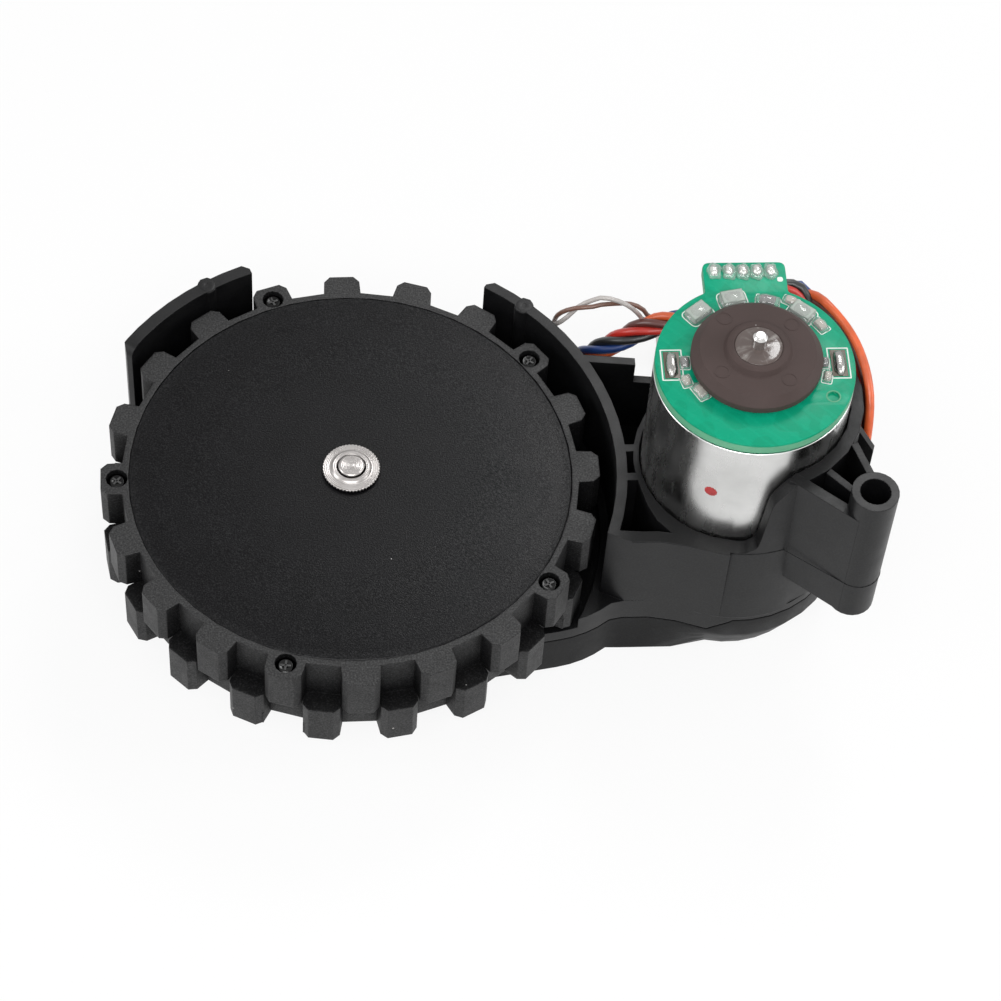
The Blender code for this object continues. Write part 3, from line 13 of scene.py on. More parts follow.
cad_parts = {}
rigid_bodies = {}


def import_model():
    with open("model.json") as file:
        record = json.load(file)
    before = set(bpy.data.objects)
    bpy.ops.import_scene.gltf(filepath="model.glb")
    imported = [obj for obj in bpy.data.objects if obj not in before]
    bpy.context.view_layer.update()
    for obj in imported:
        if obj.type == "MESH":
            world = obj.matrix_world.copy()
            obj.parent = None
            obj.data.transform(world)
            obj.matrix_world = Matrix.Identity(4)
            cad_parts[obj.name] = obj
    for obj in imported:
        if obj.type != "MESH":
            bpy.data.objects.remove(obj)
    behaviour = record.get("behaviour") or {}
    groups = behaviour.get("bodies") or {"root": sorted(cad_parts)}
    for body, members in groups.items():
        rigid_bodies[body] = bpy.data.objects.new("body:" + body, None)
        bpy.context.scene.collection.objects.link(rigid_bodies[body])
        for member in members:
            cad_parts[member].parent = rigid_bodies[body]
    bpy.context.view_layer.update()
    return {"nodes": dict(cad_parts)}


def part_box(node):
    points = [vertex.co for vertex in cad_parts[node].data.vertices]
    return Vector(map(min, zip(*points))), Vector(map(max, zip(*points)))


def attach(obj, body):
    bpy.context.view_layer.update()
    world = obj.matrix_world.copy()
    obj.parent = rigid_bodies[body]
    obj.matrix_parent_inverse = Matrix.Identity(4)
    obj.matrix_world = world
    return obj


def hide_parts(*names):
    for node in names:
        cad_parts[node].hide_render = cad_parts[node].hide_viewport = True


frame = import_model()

LOG = logging.getLogger("wheel_module")
MM = 0.001
TINY = 1e-6
CORNER_SHARE = 0.45

Point = tuple[float, float]
Point3 = tuple[float, float, float]
Socket = bpy.types.NodeSocket
Value = Union[float, Socket]
Colour = Union[Point3, Socket]

ORIGIN: Point = (0.0, 0.0)
EVEN: Point3 = (1.0, 1.0, 1.0)
WHITE = (1.0, 1.0, 1.0, 1.0)


class Body(Enum):
    """Bodies of the CAD model that pieces ride on."""

    MODULE = "module"
    WHEEL = "wheel"
    ROTOR = "rotor"


class Slot(Enum):
    """Material slots of the record."""

    MOULDING = "black_moulding"
    DISC = "satin_disc"
    RUBBER = "rubber"
    STEEL = "steel"
    BLACK_STEEL = "black_steel"
    ZINC = "zinc"
    TIN = "tin"
    BOARD = "board_green"
    SENSOR = "sensor_black"
    MAGNET = "magnet_brown"
    NYLON = "white_nylon"
    RED_WIRE = "wire_red"
    GREY_WIRE = "wire_grey"


class Work(Enum):
    """What a block does to the solid that it meets."""

    FILL = "UNION"
    CUT = "DIFFERENCE"


def cad_box(node: str) -> tuple[Vector, Vector]:
    """Box of a CAD node in millimetres.

    Args:
        node: Name of the node.

    Returns:
        Its lowest and highest corners.
    """
    low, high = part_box(node)
    return Vector(low) / MM, Vector(high) / MM


@dataclass(frozen=True)
class Levels:
    """Heights, radii and the motor's axis in millimetres, read from the CAD model."""

    tyre_bottom: float
    tyre_top: float
    disc: float
    disc_top: float
    can: float
    can_top: float
    board_bottom: float
    board_top: float
    magnet: float
    magnet_bottom: float
    shaft_top: float
    motor: Point

    @classmethod
    def read(cls) -> "Levels":
        """Read the levels from the frame.

        Returns:
            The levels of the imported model.
        """
        tyre, disc, can, board, magnet, shaft = (cad_box(node) for node in (
            "tyre", "wheel_disc", "motor_can", "encoder_board", "encoder_magnet", "motor_shaft"))
        middle = (can[0] + can[1]) / 2
        return cls(tyre_bottom=tyre[0].z, tyre_top=tyre[1].z,
                   disc=(disc[1].x - disc[0].x) / 2, disc_top=disc[1].z,
                   can=(can[1].x - can[0].x) / 2, can_top=can[1].z,
                   board_bottom=board[0].z, board_top=board[1].z,
                   magnet=(magnet[1].x - magnet[0].x) / 2, magnet_bottom=magnet[0].z,
                   shaft_top=shaft[1].z, motor=(middle.x, middle.y))


LEVELS = Levels.read()


class Nodes:
    """Node tree of a material or the world, with the steps that the finishes share."""

    def __init__(self, tree: bpy.types.NodeTree) -> None:
        """Keep the tree and its shader."""
        self.tree = tree
        self.shader = tree.nodes.get("Principled BSDF")

    def feed(self, socket: Socket, value: object) -> None:
        """Link a socket, or set its own value.

        Args:
            socket: Input to feed.
            value: Socket to link from, or the value.
        """
        if isinstance(value, Socket):
            self.tree.links.new(value, socket)
        else:
            socket.default_value = value

    def node(self, kind: str, **values: object) -> bpy.types.Node:
        """Add a node, and set its settings and inputs.

        Args:
            kind: Node type, without its ShaderNode prefix.
            **values: Settings, or values and sockets for its inputs, with underscores for spaces.

        Returns:
            The new node.
        """
        made = self.tree.nodes.new("ShaderNode" + kind)
        for key, value in values.items():
            socket = made.inputs.get(key.replace("_", " "))
            if socket is None:
                setattr(made, key, value)
            else:
                self.feed(socket, value)
        return made

    def coordinates(self, stretch: Point3 = EVEN, centre: Point = ORIGIN) -> Socket:
        """Object coordinates in metres, moved to a centre and stretched along each axis.

        Args:
            stretch: Scale along X, Y and Z.
            centre: Centre in plan, in millimetres.

        Returns:
            The vector socket.
        """
        place = (-centre[0] * MM, -centre[1] * MM, 0.0)
        return self.node("Mapping", Location=place, Scale=stretch,
                         Vector=self.node("TexCoord").outputs["Object"]).outputs["Vector"]

    def noise(self, grain_mm: float, detail: float = 4.0, stretch: Point3 = EVEN,
              rough: float = 0.55) -> Socket:
        """Noise whose main feature has a given size.

        Args:
            grain_mm: Size of a feature in millimetres.
            detail: Octaves of detail.
            stretch: Scale of the coordinates along each axis.
            rough: Weight of the finer octaves.

        Returns:
            The noise's value socket.
        """
        return self.node("TexNoise", Scale=1.0 / (grain_mm * MM), Detail=detail, Roughness=rough,
                         Vector=self.coordinates(stretch)).outputs["Fac"]

    def spread(self, value: Socket, low: float, high: float, start: float = 0.3,
               end: float = 0.7) -> Socket:
        """Map a value from one range to another.

        Args:
            value: Socket to map.
            low: Result at the start of the range.
            high: Result at the end of the range.
            start: Start of the incoming range.
            end: End of the incoming range.

        Returns:
            The mapped socket.
        """
        return self.node("MapRange", From_Min=start, From_Max=end, To_Min=low, To_Max=high,
                         Value=value).outputs["Result"]

    def blend(self, share: Socket, first: Colour, second: Colour) -> Socket:
        """Mix two colours.

        Args:
            share: How much of the second colour shows.
            first: Colour where the share is 0.
            second: Colour where the share is 1.

        Returns:
            The mixed colour socket.
        """
        made = self.node("Mix", data_type="RGBA", Factor=share)
        for colour, name in ((first, "A"), (second, "B")):
            socket = [item for item in made.inputs if item.name == name and item.type == "RGBA"][0]
            self.feed(socket, colour if isinstance(colour, Socket) else (*colour, 1.0))
        return [item for item in made.outputs if item.type == "RGBA"][0]

    def mottle(self, grain_mm: float, detail: float, dark: Point3, light: Point3) -> Socket:
        """Two tones in cloudy patches.

        Args:
            grain_mm: Size of a patch in millimetres.
            detail: Octaves of detail.
            dark: Darker tone.
            light: Lighter tone.

        Returns:
            The colour socket.
        """
        return self.blend(self.spread(self.noise(grain_mm, detail), 0.0, 1.0), dark, light)

    def maths(self, kind: str, first: Value, second: Value = 0.5) -> Socket:
        """Work out one sum.

        Args:
            kind: Operation of the Math node.
            first: Number or socket.
            second: Number or socket.

        Returns:
            The result's socket.
        """
        made = self.node("Math", operation=kind)
        self.feed(made.inputs[0], first)
        self.feed(made.inputs[1], second)
        return made.outputs["Value"]

    def surface(self, colour: Socket, patches: Socket, rough: Point) -> None:
        """Give the shader its colour, and a roughness that wavers.

        Args:
            colour: Colour of the surface.
            patches: Noise that the roughness follows.
            rough: Lowest and highest roughness.
        """
        self.feed(self.shader.inputs["Base Color"], colour)
        self.feed(self.shader.inputs["Roughness"], self.spread(patches, *rough))

    def bump(self, height: Socket, depth_mm: float, strength: float = 1.0) -> None:
        """Raise the surface by a height, on top of any earlier bump.

        Args:
            height: Height socket, from 0 to 1.
            depth_mm: Depth of the relief in millimetres.
            strength: Strength of the effect.
        """
        made = self.node("Bump", Strength=strength, Distance=depth_mm * MM, Height=height)
        earlier = self.shader.inputs["Normal"].links
        if earlier:
            self.feed(made.inputs["Normal"], earlier[0].from_socket)
        self.feed(self.shader.inputs["Normal"], made.outputs["Normal"])

    def set(self, **values: float) -> None:
        """Set even values on the shader's own sockets.

        Args:
            **values: Values by socket name, with underscores for spaces.
        """
        for key, value in values.items():
            self.shader.inputs[key.replace("_", " ")].default_value = value

    def seen(self) -> Socket:
        """Tell the camera, gloss and glass rays from the ones that light the object.

        Returns:
            Socket that is 1 for a ray that shows white.
        """
        path = self.node("LightPath").outputs
        either = self.maths("MAXIMUM", path["Is Camera Ray"], path["Is Glossy Ray"])
        return self.maths("MAXIMUM", either, path["Is Transmission Ray"])


@dataclass(frozen=True)
class Finish:
    """Base of every surface finish: a node material that is built once and shared."""

    name: str
    slot: Slot = Slot.BOARD

    def material(self) -> bpy.types.Material:
        """Build the finish's material at its first use.

        Returns:
            The shared material.
        """
        made = bpy.data.materials.get(self.name)
        if made is None:
            made = bpy.data.materials.new(self.name)
            made.use_nodes = True
            self.dress(Nodes(made.node_tree))
        return made

    def dress(self, kit: Nodes) -> None:
        """Build the nodes. Each finish fills this in."""


@dataclass(frozen=True)
class Moulding(Finish):
    """Moulded plastic or rubber: fine grain, faint mottling, specks of dust, painted glints, and painted shade in
    hollows.
    """

    dark: Point3 = EVEN
    light: Point3 = EVEN
    rough: Point = (0.4, 0.5)
    grain_mm: float = 0.2
    relief_mm: float = 0.01
    dust: float = 0.0
    specular: float = 0.5
    edge_mm: float = 0.0
    painted_glint_share: float = 0.0
    hollow_shade_mm: float = 0.0
    patch_mm: float = 6.0
    smear_mm: float = 3.0
    painted_glint_tone: Point3 = (0.16, 0.16, 0.165)
    painted_glint_range: Point = (0.52, 0.72)
    dust_tone: Point3 = (0.42, 0.41, 0.40)
    dust_cell_mm: float = 2.4
    dust_size: float = 0.075
    gloss_swing: float = 0.38
    gloss_range: Point = (0.36, 0.64)
    hollow_shade_range: Point = (0.38, 0.84)

    def dress(self, kit: Nodes) -> None:
        """Build the mottled colour with painted glints, the softened edges, the grain's relief, the dust and the
        gloss.

        Args:
            kit: Nodes of the material.
        """
        if self.edge_mm > 0.0:
            worn = kit.node("Bevel", samples=6, Radius=self.edge_mm * MM)
            kit.feed(kit.shader.inputs["Normal"], worn.outputs["Normal"])
        colour = kit.mottle(self.patch_mm, 5.0, self.dark, self.light)
        grain = kit.noise(self.grain_mm, 3.0)
        # Painted glints: lighter grey specks in the base colour, following the grain, stand in for sparkles of
        # light.
        if self.painted_glint_share > 0.0:
            glint = kit.spread(grain, 0.0, self.painted_glint_share, *self.painted_glint_range)
            colour = kit.blend(glint, colour, self.painted_glint_tone)
        if self.dust > 0.0:
            colour = kit.blend(self.specks(kit), colour, self.dust_tone)
        kit.surface(colour, kit.noise(self.smear_mm, 6.0), self.rough)
        kit.bump(grain, self.relief_mm)
        self.gloss_and_painted_hollow_shade(kit, grain)

    def gloss_and_painted_hollow_shade(self, kit: Nodes, grain: Socket) -> None:
        """Let the gloss follow the grain, and fade it where the surface lies in a narrow hollow, as painted shade.

        Args:
            kit: Nodes of the material.
            grain: Grain socket.
        """
        kit.set(Specular_IOR_Level=self.specular)
        swing = self.specular * min(self.gloss_swing, self.relief_mm * 10)
        gloss = kit.spread(grain, self.specular - swing, self.specular + swing, *self.gloss_range)
        # Painted shade: ambient occlusion fades the gloss in hollows and corners, so they render darker.
        if self.hollow_shade_mm > 0.0:
            around = kit.node("AmbientOcclusion", samples=5, Distance=self.hollow_shade_mm * MM)
            openness = kit.spread(around.outputs["AO"], 0.02, 1.0, *self.hollow_shade_range)
            gloss = kit.maths("MULTIPLY", gloss, openness)
        kit.feed(kit.shader.inputs["Specular IOR Level"], gloss)

    def specks(self, kit: Nodes) -> Socket:
        """Sparse round specks of dust.

        Args:
            kit: Nodes of the material.

        Returns:
            A mask socket.
        """
        cells = kit.node("TexVoronoi", Scale=1.0 / (self.dust_cell_mm * MM), Randomness=1.0,
                         Vector=kit.coordinates())
        split = kit.node("SeparateColor", Color=cells.outputs["Color"])
        chosen = kit.maths("LESS_THAN", split.outputs["Red"], self.dust)
        size = kit.maths("MULTIPLY", split.outputs["Green"], self.dust_size)
        return kit.maths("MULTIPLY", chosen, kit.maths("LESS_THAN", cells.outputs["Distance"], size))


@dataclass(frozen=True)
class Metal(Finish):
    """Bare or plated metal with fine scratches, smears and optional turning rings."""

    dark: Point3 = EVEN
    light: Point3 = EVEN
    rough: Point = (0.2, 0.3)
    relief_mm: float = 0.004
    rings_mm: float = 0.0
    centre: Point = ORIGIN
    streak: Point3 = EVEN
    patch_mm: float = 7.0
    smear_mm: float = 4.0
    scratch_mm: float = 0.8

    def dress(self, kit: Nodes) -> None:
        """Build the smeared colour, the scratches and the rings.

        Args:
            kit: Nodes of the material.
        """
        smears = kit.noise(self.smear_mm, 6.0, self.streak, 0.65)
        kit.surface(kit.mottle(self.patch_mm, 5.0, self.dark, self.light), smears, self.rough)
        kit.bump(kit.noise(self.scratch_mm, 5.0, self.streak), self.relief_mm)
        if self.rings_mm > 0.0:
            size = kit.node("VectorMath", operation="LENGTH")
            kit.feed(size.inputs[0], kit.coordinates((1.0, 1.0, 0.0), self.centre))
            turns = kit.maths("MULTIPLY", size.outputs["Value"], 2 * math.pi / (self.rings_mm * MM))
            kit.bump(kit.maths("SINE", turns), self.relief_mm)
        kit.set(Metallic=1.0)


@dataclass(frozen=True)
class BoardMask(Finish):
    """Green solder mask over faint copper tracks."""

    track_mm: float = 4.2
    pour_mm: float = 3.2

    def dress(self, kit: Nodes) -> None:
        """Build the tracks, the copper pour and the gloss.

        Args:
            kit: Nodes of the material.
        """
        pour = kit.spread(kit.noise(self.pour_mm, 1.0, rough=0.2), 0.0, 1.0, 0.49, 0.51)
        tracks = kit.node("TexWave", bands_direction="DIAGONAL", Scale=1.0 / (self.track_mm * MM),
                          Distortion=3.0, Detail=1.0, Detail_Scale=0.6, Vector=kit.coordinates())
        lines = kit.maths("GREATER_THAN", tracks.outputs["Fac"], 0.86)
        base = kit.blend(pour, (0.0030, 0.285, 0.155), (0.0035, 0.315, 0.175))
        colour = kit.blend(kit.maths("MULTIPLY", lines, 0.3), base, (0.006, 0.36, 0.205))
        kit.surface(colour, kit.noise(2.0, 4.0), (0.22, 0.34))
        kit.bump(kit.maths("ADD", pour, lines), 0.010, 0.5)
        kit.set(Specular_IOR_Level=0.12)


@dataclass(frozen=True)
class ClearGlue(Finish):
    """Clear potting glue with a faint haze and an uneven skin."""

    def dress(self, kit: Nodes) -> None:
        """Build the haze and the rippled skin.

        Args:
            kit: Nodes of the material.
        """
        haze = kit.mottle(0.9, 4.0, (0.90, 0.91, 0.89), (0.98, 0.99, 0.98))
        kit.surface(haze, kit.noise(0.6, 3.0), (0.02, 0.10))
        kit.bump(kit.noise(0.9, 3.0), 0.10, 0.6)
        kit.set(Transmission_Weight=0.8, IOR=1.46)


@dataclass(frozen=True)
class HubResin(Finish):
    """Glossy resin over the hub: brown shows through, with pale radial streaks painted in as reflections."""

    rays: float = 13.0

    def dress(self, kit: Nodes) -> None:
        """Build the painted reflection streaks, the gloss and the uneven skin.

        Args:
            kit: Nodes of the material.
        """
        # Painted reflections: pale radial streaks in the base colour stand in for light reflected in the resin.
        around = kit.node("TexGradient", gradient_type="RADIAL",
                          Vector=kit.coordinates(EVEN, LEVELS.motor))
        rays = kit.node("TexNoise", noise_dimensions="1D", Scale=self.rays, Detail=3.0,
                        W=around.outputs["Fac"])
        streaks = kit.spread(rays.outputs["Fac"], 0.0, 1.0, 0.5, 0.68)
        patches = kit.spread(kit.noise(1.6, 3.0), 0.0, 1.0, 0.42, 0.6)
        share = kit.maths("MULTIPLY", streaks, patches)
        colour = kit.blend(share, (0.086, 0.063, 0.056), (0.21, 0.19, 0.175))
        kit.surface(colour, kit.noise(0.8, 3.0), (0.06, 0.16))
        kit.bump(kit.noise(1.1, 3.0), 0.05, 0.6)
        kit.set(Specular_IOR_Level=0.5, Coat_Weight=0.25, Coat_Roughness=0.05)


@dataclass(frozen=True)
class Skin(Finish):
    """Wire insulation: smooth with a slight waver in tone."""

    colour: Point3 = EVEN
    roughness: float = 0.36
    shade: float = 0.72

    def dress(self, kit: Nodes) -> None:
        """Build the wavering tone and a soft relief.

        Args:
            kit: Nodes of the material.
        """
        darker = tuple(value * self.shade for value in self.colour)
        kit.surface(kit.mottle(2.2, 4.0, darker, self.colour), kit.noise(1.5, 3.0),
                    (self.roughness - 0.06, self.roughness + 0.08))
        kit.bump(kit.noise(0.5, 2.0), 0.01)
        kit.set(Coat_Weight=0.15)


BLACK = Moulding("black_moulding_finish", Slot.MOULDING, (0.0040, 0.0040, 0.0044),
                 (0.0070, 0.0070, 0.0074), (0.34, 0.44), grain_mm=0.22, relief_mm=0.008, dust=0.02,
                 specular=0.26, edge_mm=0.16, painted_glint_share=0.02, hollow_shade_mm=8.0)
COVER = Moulding("black_cover_finish", Slot.MOULDING, (0.0045, 0.0045, 0.0048), (0.007, 0.007, 0.0074),
                 (0.42, 0.52), grain_mm=0.22, relief_mm=0.010, dust=0.02, specular=0.14, edge_mm=0.22,
                 painted_glint_share=0.02)
DISC = Moulding("satin_disc_finish", Slot.DISC, (0.0016, 0.0016, 0.0020), (0.0030, 0.0030, 0.0036),
                (0.28, 0.35), grain_mm=0.20, relief_mm=0.034, dust=0.10, specular=0.135, painted_glint_share=0.045)
RUBBER = Moulding("rubber_finish", Slot.RUBBER, (0.0045, 0.0045, 0.0048), (0.0085, 0.0085, 0.0088),
                  (0.46, 0.60), grain_mm=0.24, relief_mm=0.034, dust=0.12, specular=0.40, edge_mm=0.30,
                  painted_glint_share=0.08, hollow_shade_mm=9.0)
ACETAL = Moulding("acetal_finish", Slot.NYLON, (0.62, 0.60, 0.54), (0.72, 0.70, 0.64), (0.38, 0.48),
                  grain_mm=0.5, relief_mm=0.006, edge_mm=0.1)
NYLON = Moulding("nylon_finish", Slot.NYLON, (0.70, 0.69, 0.65), (0.80, 0.79, 0.75), (0.40, 0.52),
                 grain_mm=0.4, relief_mm=0.008)
BROWN = Moulding("bonded_magnet_finish", Slot.MAGNET, (0.056, 0.040, 0.037), (0.072, 0.052, 0.049),
                 (0.50, 0.62), grain_mm=0.12, relief_mm=0.014, dust=0.06, specular=0.12)
# Dark epoxy of the black chips; also painted shade in screw recesses and plug windows.
EPOXY_AND_SHADE = Moulding("sensor_epoxy_finish", Slot.SENSOR, (0.02, 0.02, 0.02), (0.03, 0.03, 0.03),
                 (0.42, 0.52), grain_mm=0.15, relief_mm=0.006)
HALL = Moulding("sensor_case_finish", Slot.SENSOR, (0.20, 0.24, 0.21), (0.40, 0.45, 0.40), (0.34, 0.5),
                grain_mm=0.5, relief_mm=0.02, edge_mm=0.2)
CERAMIC = Moulding("chip_ceramic_finish", Slot.SENSOR, (0.30, 0.27, 0.22), (0.42, 0.38, 0.32),
                   (0.4, 0.5), grain_mm=0.2, relief_mm=0.01)
SILK = Moulding("silkscreen_finish", Slot.BOARD, (0.66, 0.72, 0.67), (0.80, 0.84, 0.80), (0.42, 0.5),
                grain_mm=0.1, relief_mm=0.01)
LAMINATE = Moulding("board_edge_finish", Slot.BOARD, (0.10, 0.34, 0.20), (0.16, 0.42, 0.26),
                    (0.5, 0.6), grain_mm=0.2, relief_mm=0.02, specular=0.2)
PAINT = Moulding("red_paint_finish", Slot.ZINC, (0.30, 0.010, 0.012), (0.42, 0.018, 0.018), (0.30, 0.4),
                 grain_mm=0.3, relief_mm=0.02)
FLUX = Moulding("flux_finish", Slot.TIN, (0.05, 0.036, 0.02), (0.09, 0.066, 0.04), (0.25, 0.4),
                grain_mm=0.2, relief_mm=0.02)
TINNED = Metal("terminal_solder", Slot.TIN, (0.14, 0.135, 0.13), (0.52, 0.51, 0.49), (0.10, 0.20), 0.14)
SOLDER = Metal("solder", Slot.TIN, (0.50, 0.49, 0.46), (0.80, 0.79, 0.76), (0.12, 0.26), 0.09)
ZINC = Metal("zinc_plate", Slot.ZINC, (0.58, 0.58, 0.57), (0.72, 0.72, 0.71), (0.20, 0.33),
             streak=(1.0, 1.0, 0.25))
STEEL = Metal("turned_steel", Slot.STEEL, (0.30, 0.285, 0.275), (0.43, 0.41, 0.40), (0.22, 0.36),
              0.012, 0.22)
SHAFT = Metal("ground_shaft", Slot.STEEL, (0.55, 0.54, 0.53), (0.70, 0.69, 0.68), (0.14, 0.26),
              0.003, 0.3, LEVELS.motor)
BLACK_STEEL = Metal("black_oxide", Slot.BLACK_STEEL, (0.012, 0.012, 0.012), (0.03, 0.03, 0.03),
                    (0.12, 0.24), 0.006)
BRASS = Metal("brass_finish", Slot.STEEL, (0.62, 0.44, 0.18), (0.74, 0.56, 0.28), (0.22, 0.34))
BRONZE = Metal("sintered_bronze", Slot.STEEL, (0.44, 0.28, 0.15), (0.58, 0.38, 0.22), (0.40, 0.55), 0.02)
MASK = BoardMask("board_mask")
GLUE = ClearGlue("clear_glue")
RESIN = HubResin("hub_resin", Slot.MAGNET)
RED = Skin("red_insulation", Slot.RED_WIRE, (0.56, 0.026, 0.016))
ORANGE = Skin("orange_insulation", Slot.RED_WIRE, (0.78, 0.13, 0.035))
MAROON = Skin("maroon_insulation", Slot.RED_WIRE, (0.11, 0.028, 0.022))
BLUE = Skin("blue_insulation", Slot.RED_WIRE, (0.018, 0.055, 0.22))
DARK = Skin("black_insulation", Slot.RED_WIRE, (0.014, 0.014, 0.015))
GREY = Skin("grey_insulation", Slot.GREY_WIRE, (0.50, 0.47, 0.45), 0.42)
BROWN_WIRE = Skin("brown_insulation", Slot.GREY_WIRE, (0.17, 0.085, 0.060))


def polar(radius: float, angle: float, centre: Point = ORIGIN) -> Point:
    """Point at a radius and an angle.

    Args:
        radius: Distance from the centre.
        angle: Angle in degrees.
        centre: Centre point.

    Returns:
        The point.
    """
    turn = math.radians(angle)
    return (centre[0] + radius * math.cos(turn), centre[1] + radius * math.sin(turn))


def arc(radius: float, start: float, end: float, count: int, centre: Point = ORIGIN) -> list[Point]:
    """Points along an arc, both ends included.

    Args:
        radius: Radius of the arc.
        start: Start angle in degrees.
        end: End angle in degrees.
        count: Number of steps.
        centre: Centre point.

    Returns:
        The points.
    """
    return [polar(radius, start + (end - start) * i / count, centre) for i in range(count + 1)]


def circle(radius: float, count: int, centre: Point = ORIGIN) -> list[Point]:
    """Points of a whole circle.

    Args:
        radius: Radius.
        count: Number of points.
        centre: Centre point.

    Returns:
        The points.
    """
    return [polar(radius, 360.0 * i / count, centre) for i in range(count)]


def rectangle(length: float, width: float, middle: Point = ORIGIN) -> list[Point]:
    """Corners of a rectangle.

    Args:
        length: Size along X.
        width: Size along Y.
        middle: Middle point.

    Returns:
        The four corners.
    """
    half = (length / 2, width / 2)
    return [(middle[0] + x * half[0], middle[1] + y * half[1])
            for x, y in ((-1, -1), (1, -1), (1, 1), (-1, 1))]


def raised(profile: Sequence[Point], height: float) -> list[Point]:
    """Profile moved up.

    Args:
        profile: Points of (radius, height).
        height: How far it moves.

    Returns:
        The moved points.
    """
    return [(radius, height + rise) for radius, rise in profile]


def rounded(points: Sequence[Point], radius: float, steps: int = 4, sharp: float = 20.0) -> list[Point]:
    """Round the sharp corners of a closed outline.

    Args:
        points: Corners of the outline.
        radius: Largest corner radius.
        steps: Steps in each corner.
        sharp: Least turn, in degrees, that counts as a corner.

    Returns:
        The rounded outline.
    """
    made: list[Point] = []
    for i, point in enumerate(points):
        here = Vector(point)
        back = Vector(points[i - 1]) - here
        ahead = Vector(points[(i + 1) % len(points)]) - here
        if back.length < TINY or ahead.length < TINY:
            continue
        turn = math.pi - back.angle(ahead)
        if math.degrees(turn) < sharp:
            made.append(tuple(here))
            continue
        most = min(back.length, ahead.length) * CORNER_SHARE
        reach = min(radius * math.tan(turn / 2), most)
        start = here + back.normalized() * reach
        end = here + ahead.normalized() * reach
        for j in range(steps + 1):
            t = j / steps
            made.append(tuple(start * (1 - t) ** 2 + here * 2 * t * (1 - t) + end * t ** 2))
    return made


def standing(middle: Point3, turn: float) -> Matrix:
    """Place of a piece that stands upright.

    Args:
        middle: Its middle in millimetres.
        turn: Turn about Z in degrees.

    Returns:
        The matrix in metres.
    """
    return Matrix.Translation(Vector(middle) * MM) @ Matrix.Rotation(math.radians(turn), 4, "Z")


def add_line(curve: bpy.types.Curve, points: Sequence[Sequence[float]], closed: bool = False) -> None:
    """Add a line of straight steps to a curve.

    Args:
        curve: Curve to add to.
        points: Points in plan or in space, in millimetres.
        closed: Whether the last point joins the first.
    """
    spline = curve.splines.new("POLY")
    spline.points.add(len(points) - 1)
    for slot, point in zip(spline.points, points):
        height = point[2] if len(point) > 2 else 0.0
        slot.co = (point[0] * MM, point[1] * MM, height * MM, 1.0)
    spline.use_cyclic_u = closed


def round_bar(points: Sequence[Sequence[float]], radius: float, steps: int,
              capped: bool = False) -> bpy.types.Curve:
    """Round bar along a line.

    Args:
        points: Points in space, in millimetres.
        radius: Radius of the bar.
        steps: Steps of its round section.
        capped: Whether its ends are closed.

    Returns:
        The curve.
    """
    curve = bpy.data.curves.new("bar", "CURVE")
    curve.dimensions = "3D"
    curve.bevel_depth = radius * MM
    curve.bevel_resolution = steps
    curve.use_fill_caps = capped
    add_line(curve, points)
    return curve


def put(name: str, data: bpy.types.ID, finish: Finish, body: Body = Body.MODULE, node: str = "") -> bpy.types.Object:
    """Add a piece to the scene with its finish, and let it ride on its body.

    Args:
        name: Name of the piece.
        data: Mesh or curve.
        finish: Finish of its surface.
        body: Body that carries it.
        node: CAD node that it stands for, if any.

    Returns:
        The new object.
    """
    data.name = name
    piece = bpy.data.objects.new(name, data)
    bpy.context.scene.collection.objects.link(piece)
    data.materials.clear()
    data.materials.append(finish.material())
    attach(piece, body.value)
    if node:
        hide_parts(node)
    return piece


def finished(work: bmesh.types.BMesh, angle: float = 32.0) -> bpy.types.Mesh:
    """Turn bmesh work into a mesh, shaded smooth below an angle.

    Args:
        work: The work, which is freed.
        angle: Angle in degrees above which an edge stays sharp.

    Returns:
        The mesh.
    """
    bmesh.ops.recalc_face_normals(work, faces=work.faces)
    mesh = bpy.data.meshes.new("mesh")
    work.to_mesh(mesh)
    work.free()
    mesh.shade_smooth()
    mesh.set_sharp_from_angle(angle=math.radians(angle))
    return mesh


def taken(source: bpy.types.Object) -> bpy.types.Mesh:
    """Mesh of an object with its modifiers applied.

    Args:
        source: The object.

    Returns:
        A new mesh.
    """
    bpy.context.view_layer.update()
    graph = bpy.context.evaluated_depsgraph_get()
    return bpy.data.meshes.new_from_object(source.evaluated_get(graph))


def plate_mesh(outlines: Sequence[Sequence[Point]], low: float, high: float, edge: float = 0.0,
               turn: Matrix = Matrix.Identity(4)) -> bpy.types.Mesh:
    """Outline with holes, raised between two heights with softened rims.

    Args:
        outlines: Outer outline and any holes, in millimetres.
        low: Lower height.
        high: Upper height.
        edge: Radius of the rims.
        turn: Matrix that lays the finished plate in place.

    Returns:
        The mesh.
    """
    curve = bpy.data.curves.new("outline", "CURVE")
    curve.dimensions = "2D"
    curve.fill_mode = "BOTH"
    curve.extrude = ((high - low) / 2 - edge) * MM
    curve.bevel_depth = edge * MM
    curve.offset = -edge * MM
    curve.bevel_resolution = 2
    for points in outlines:
        add_line(curve, points, closed=True)
    source = bpy.data.objects.new("outline", curve)
    bpy.context.scene.collection.objects.link(source)
    mesh = taken(source)
    bpy.data.objects.remove(source, do_unlink=True)
    bpy.data.curves.remove(curve)
    mesh.transform(turn @ Matrix.Translation((0.0, 0.0, (low + high) / 2 * MM)))
    work = bmesh.new()
    work.from_mesh(mesh)
    bpy.data.meshes.remove(mesh)
    bmesh.ops.remove_doubles(work, verts=work.verts, dist=1e-7)
    return finished(work)


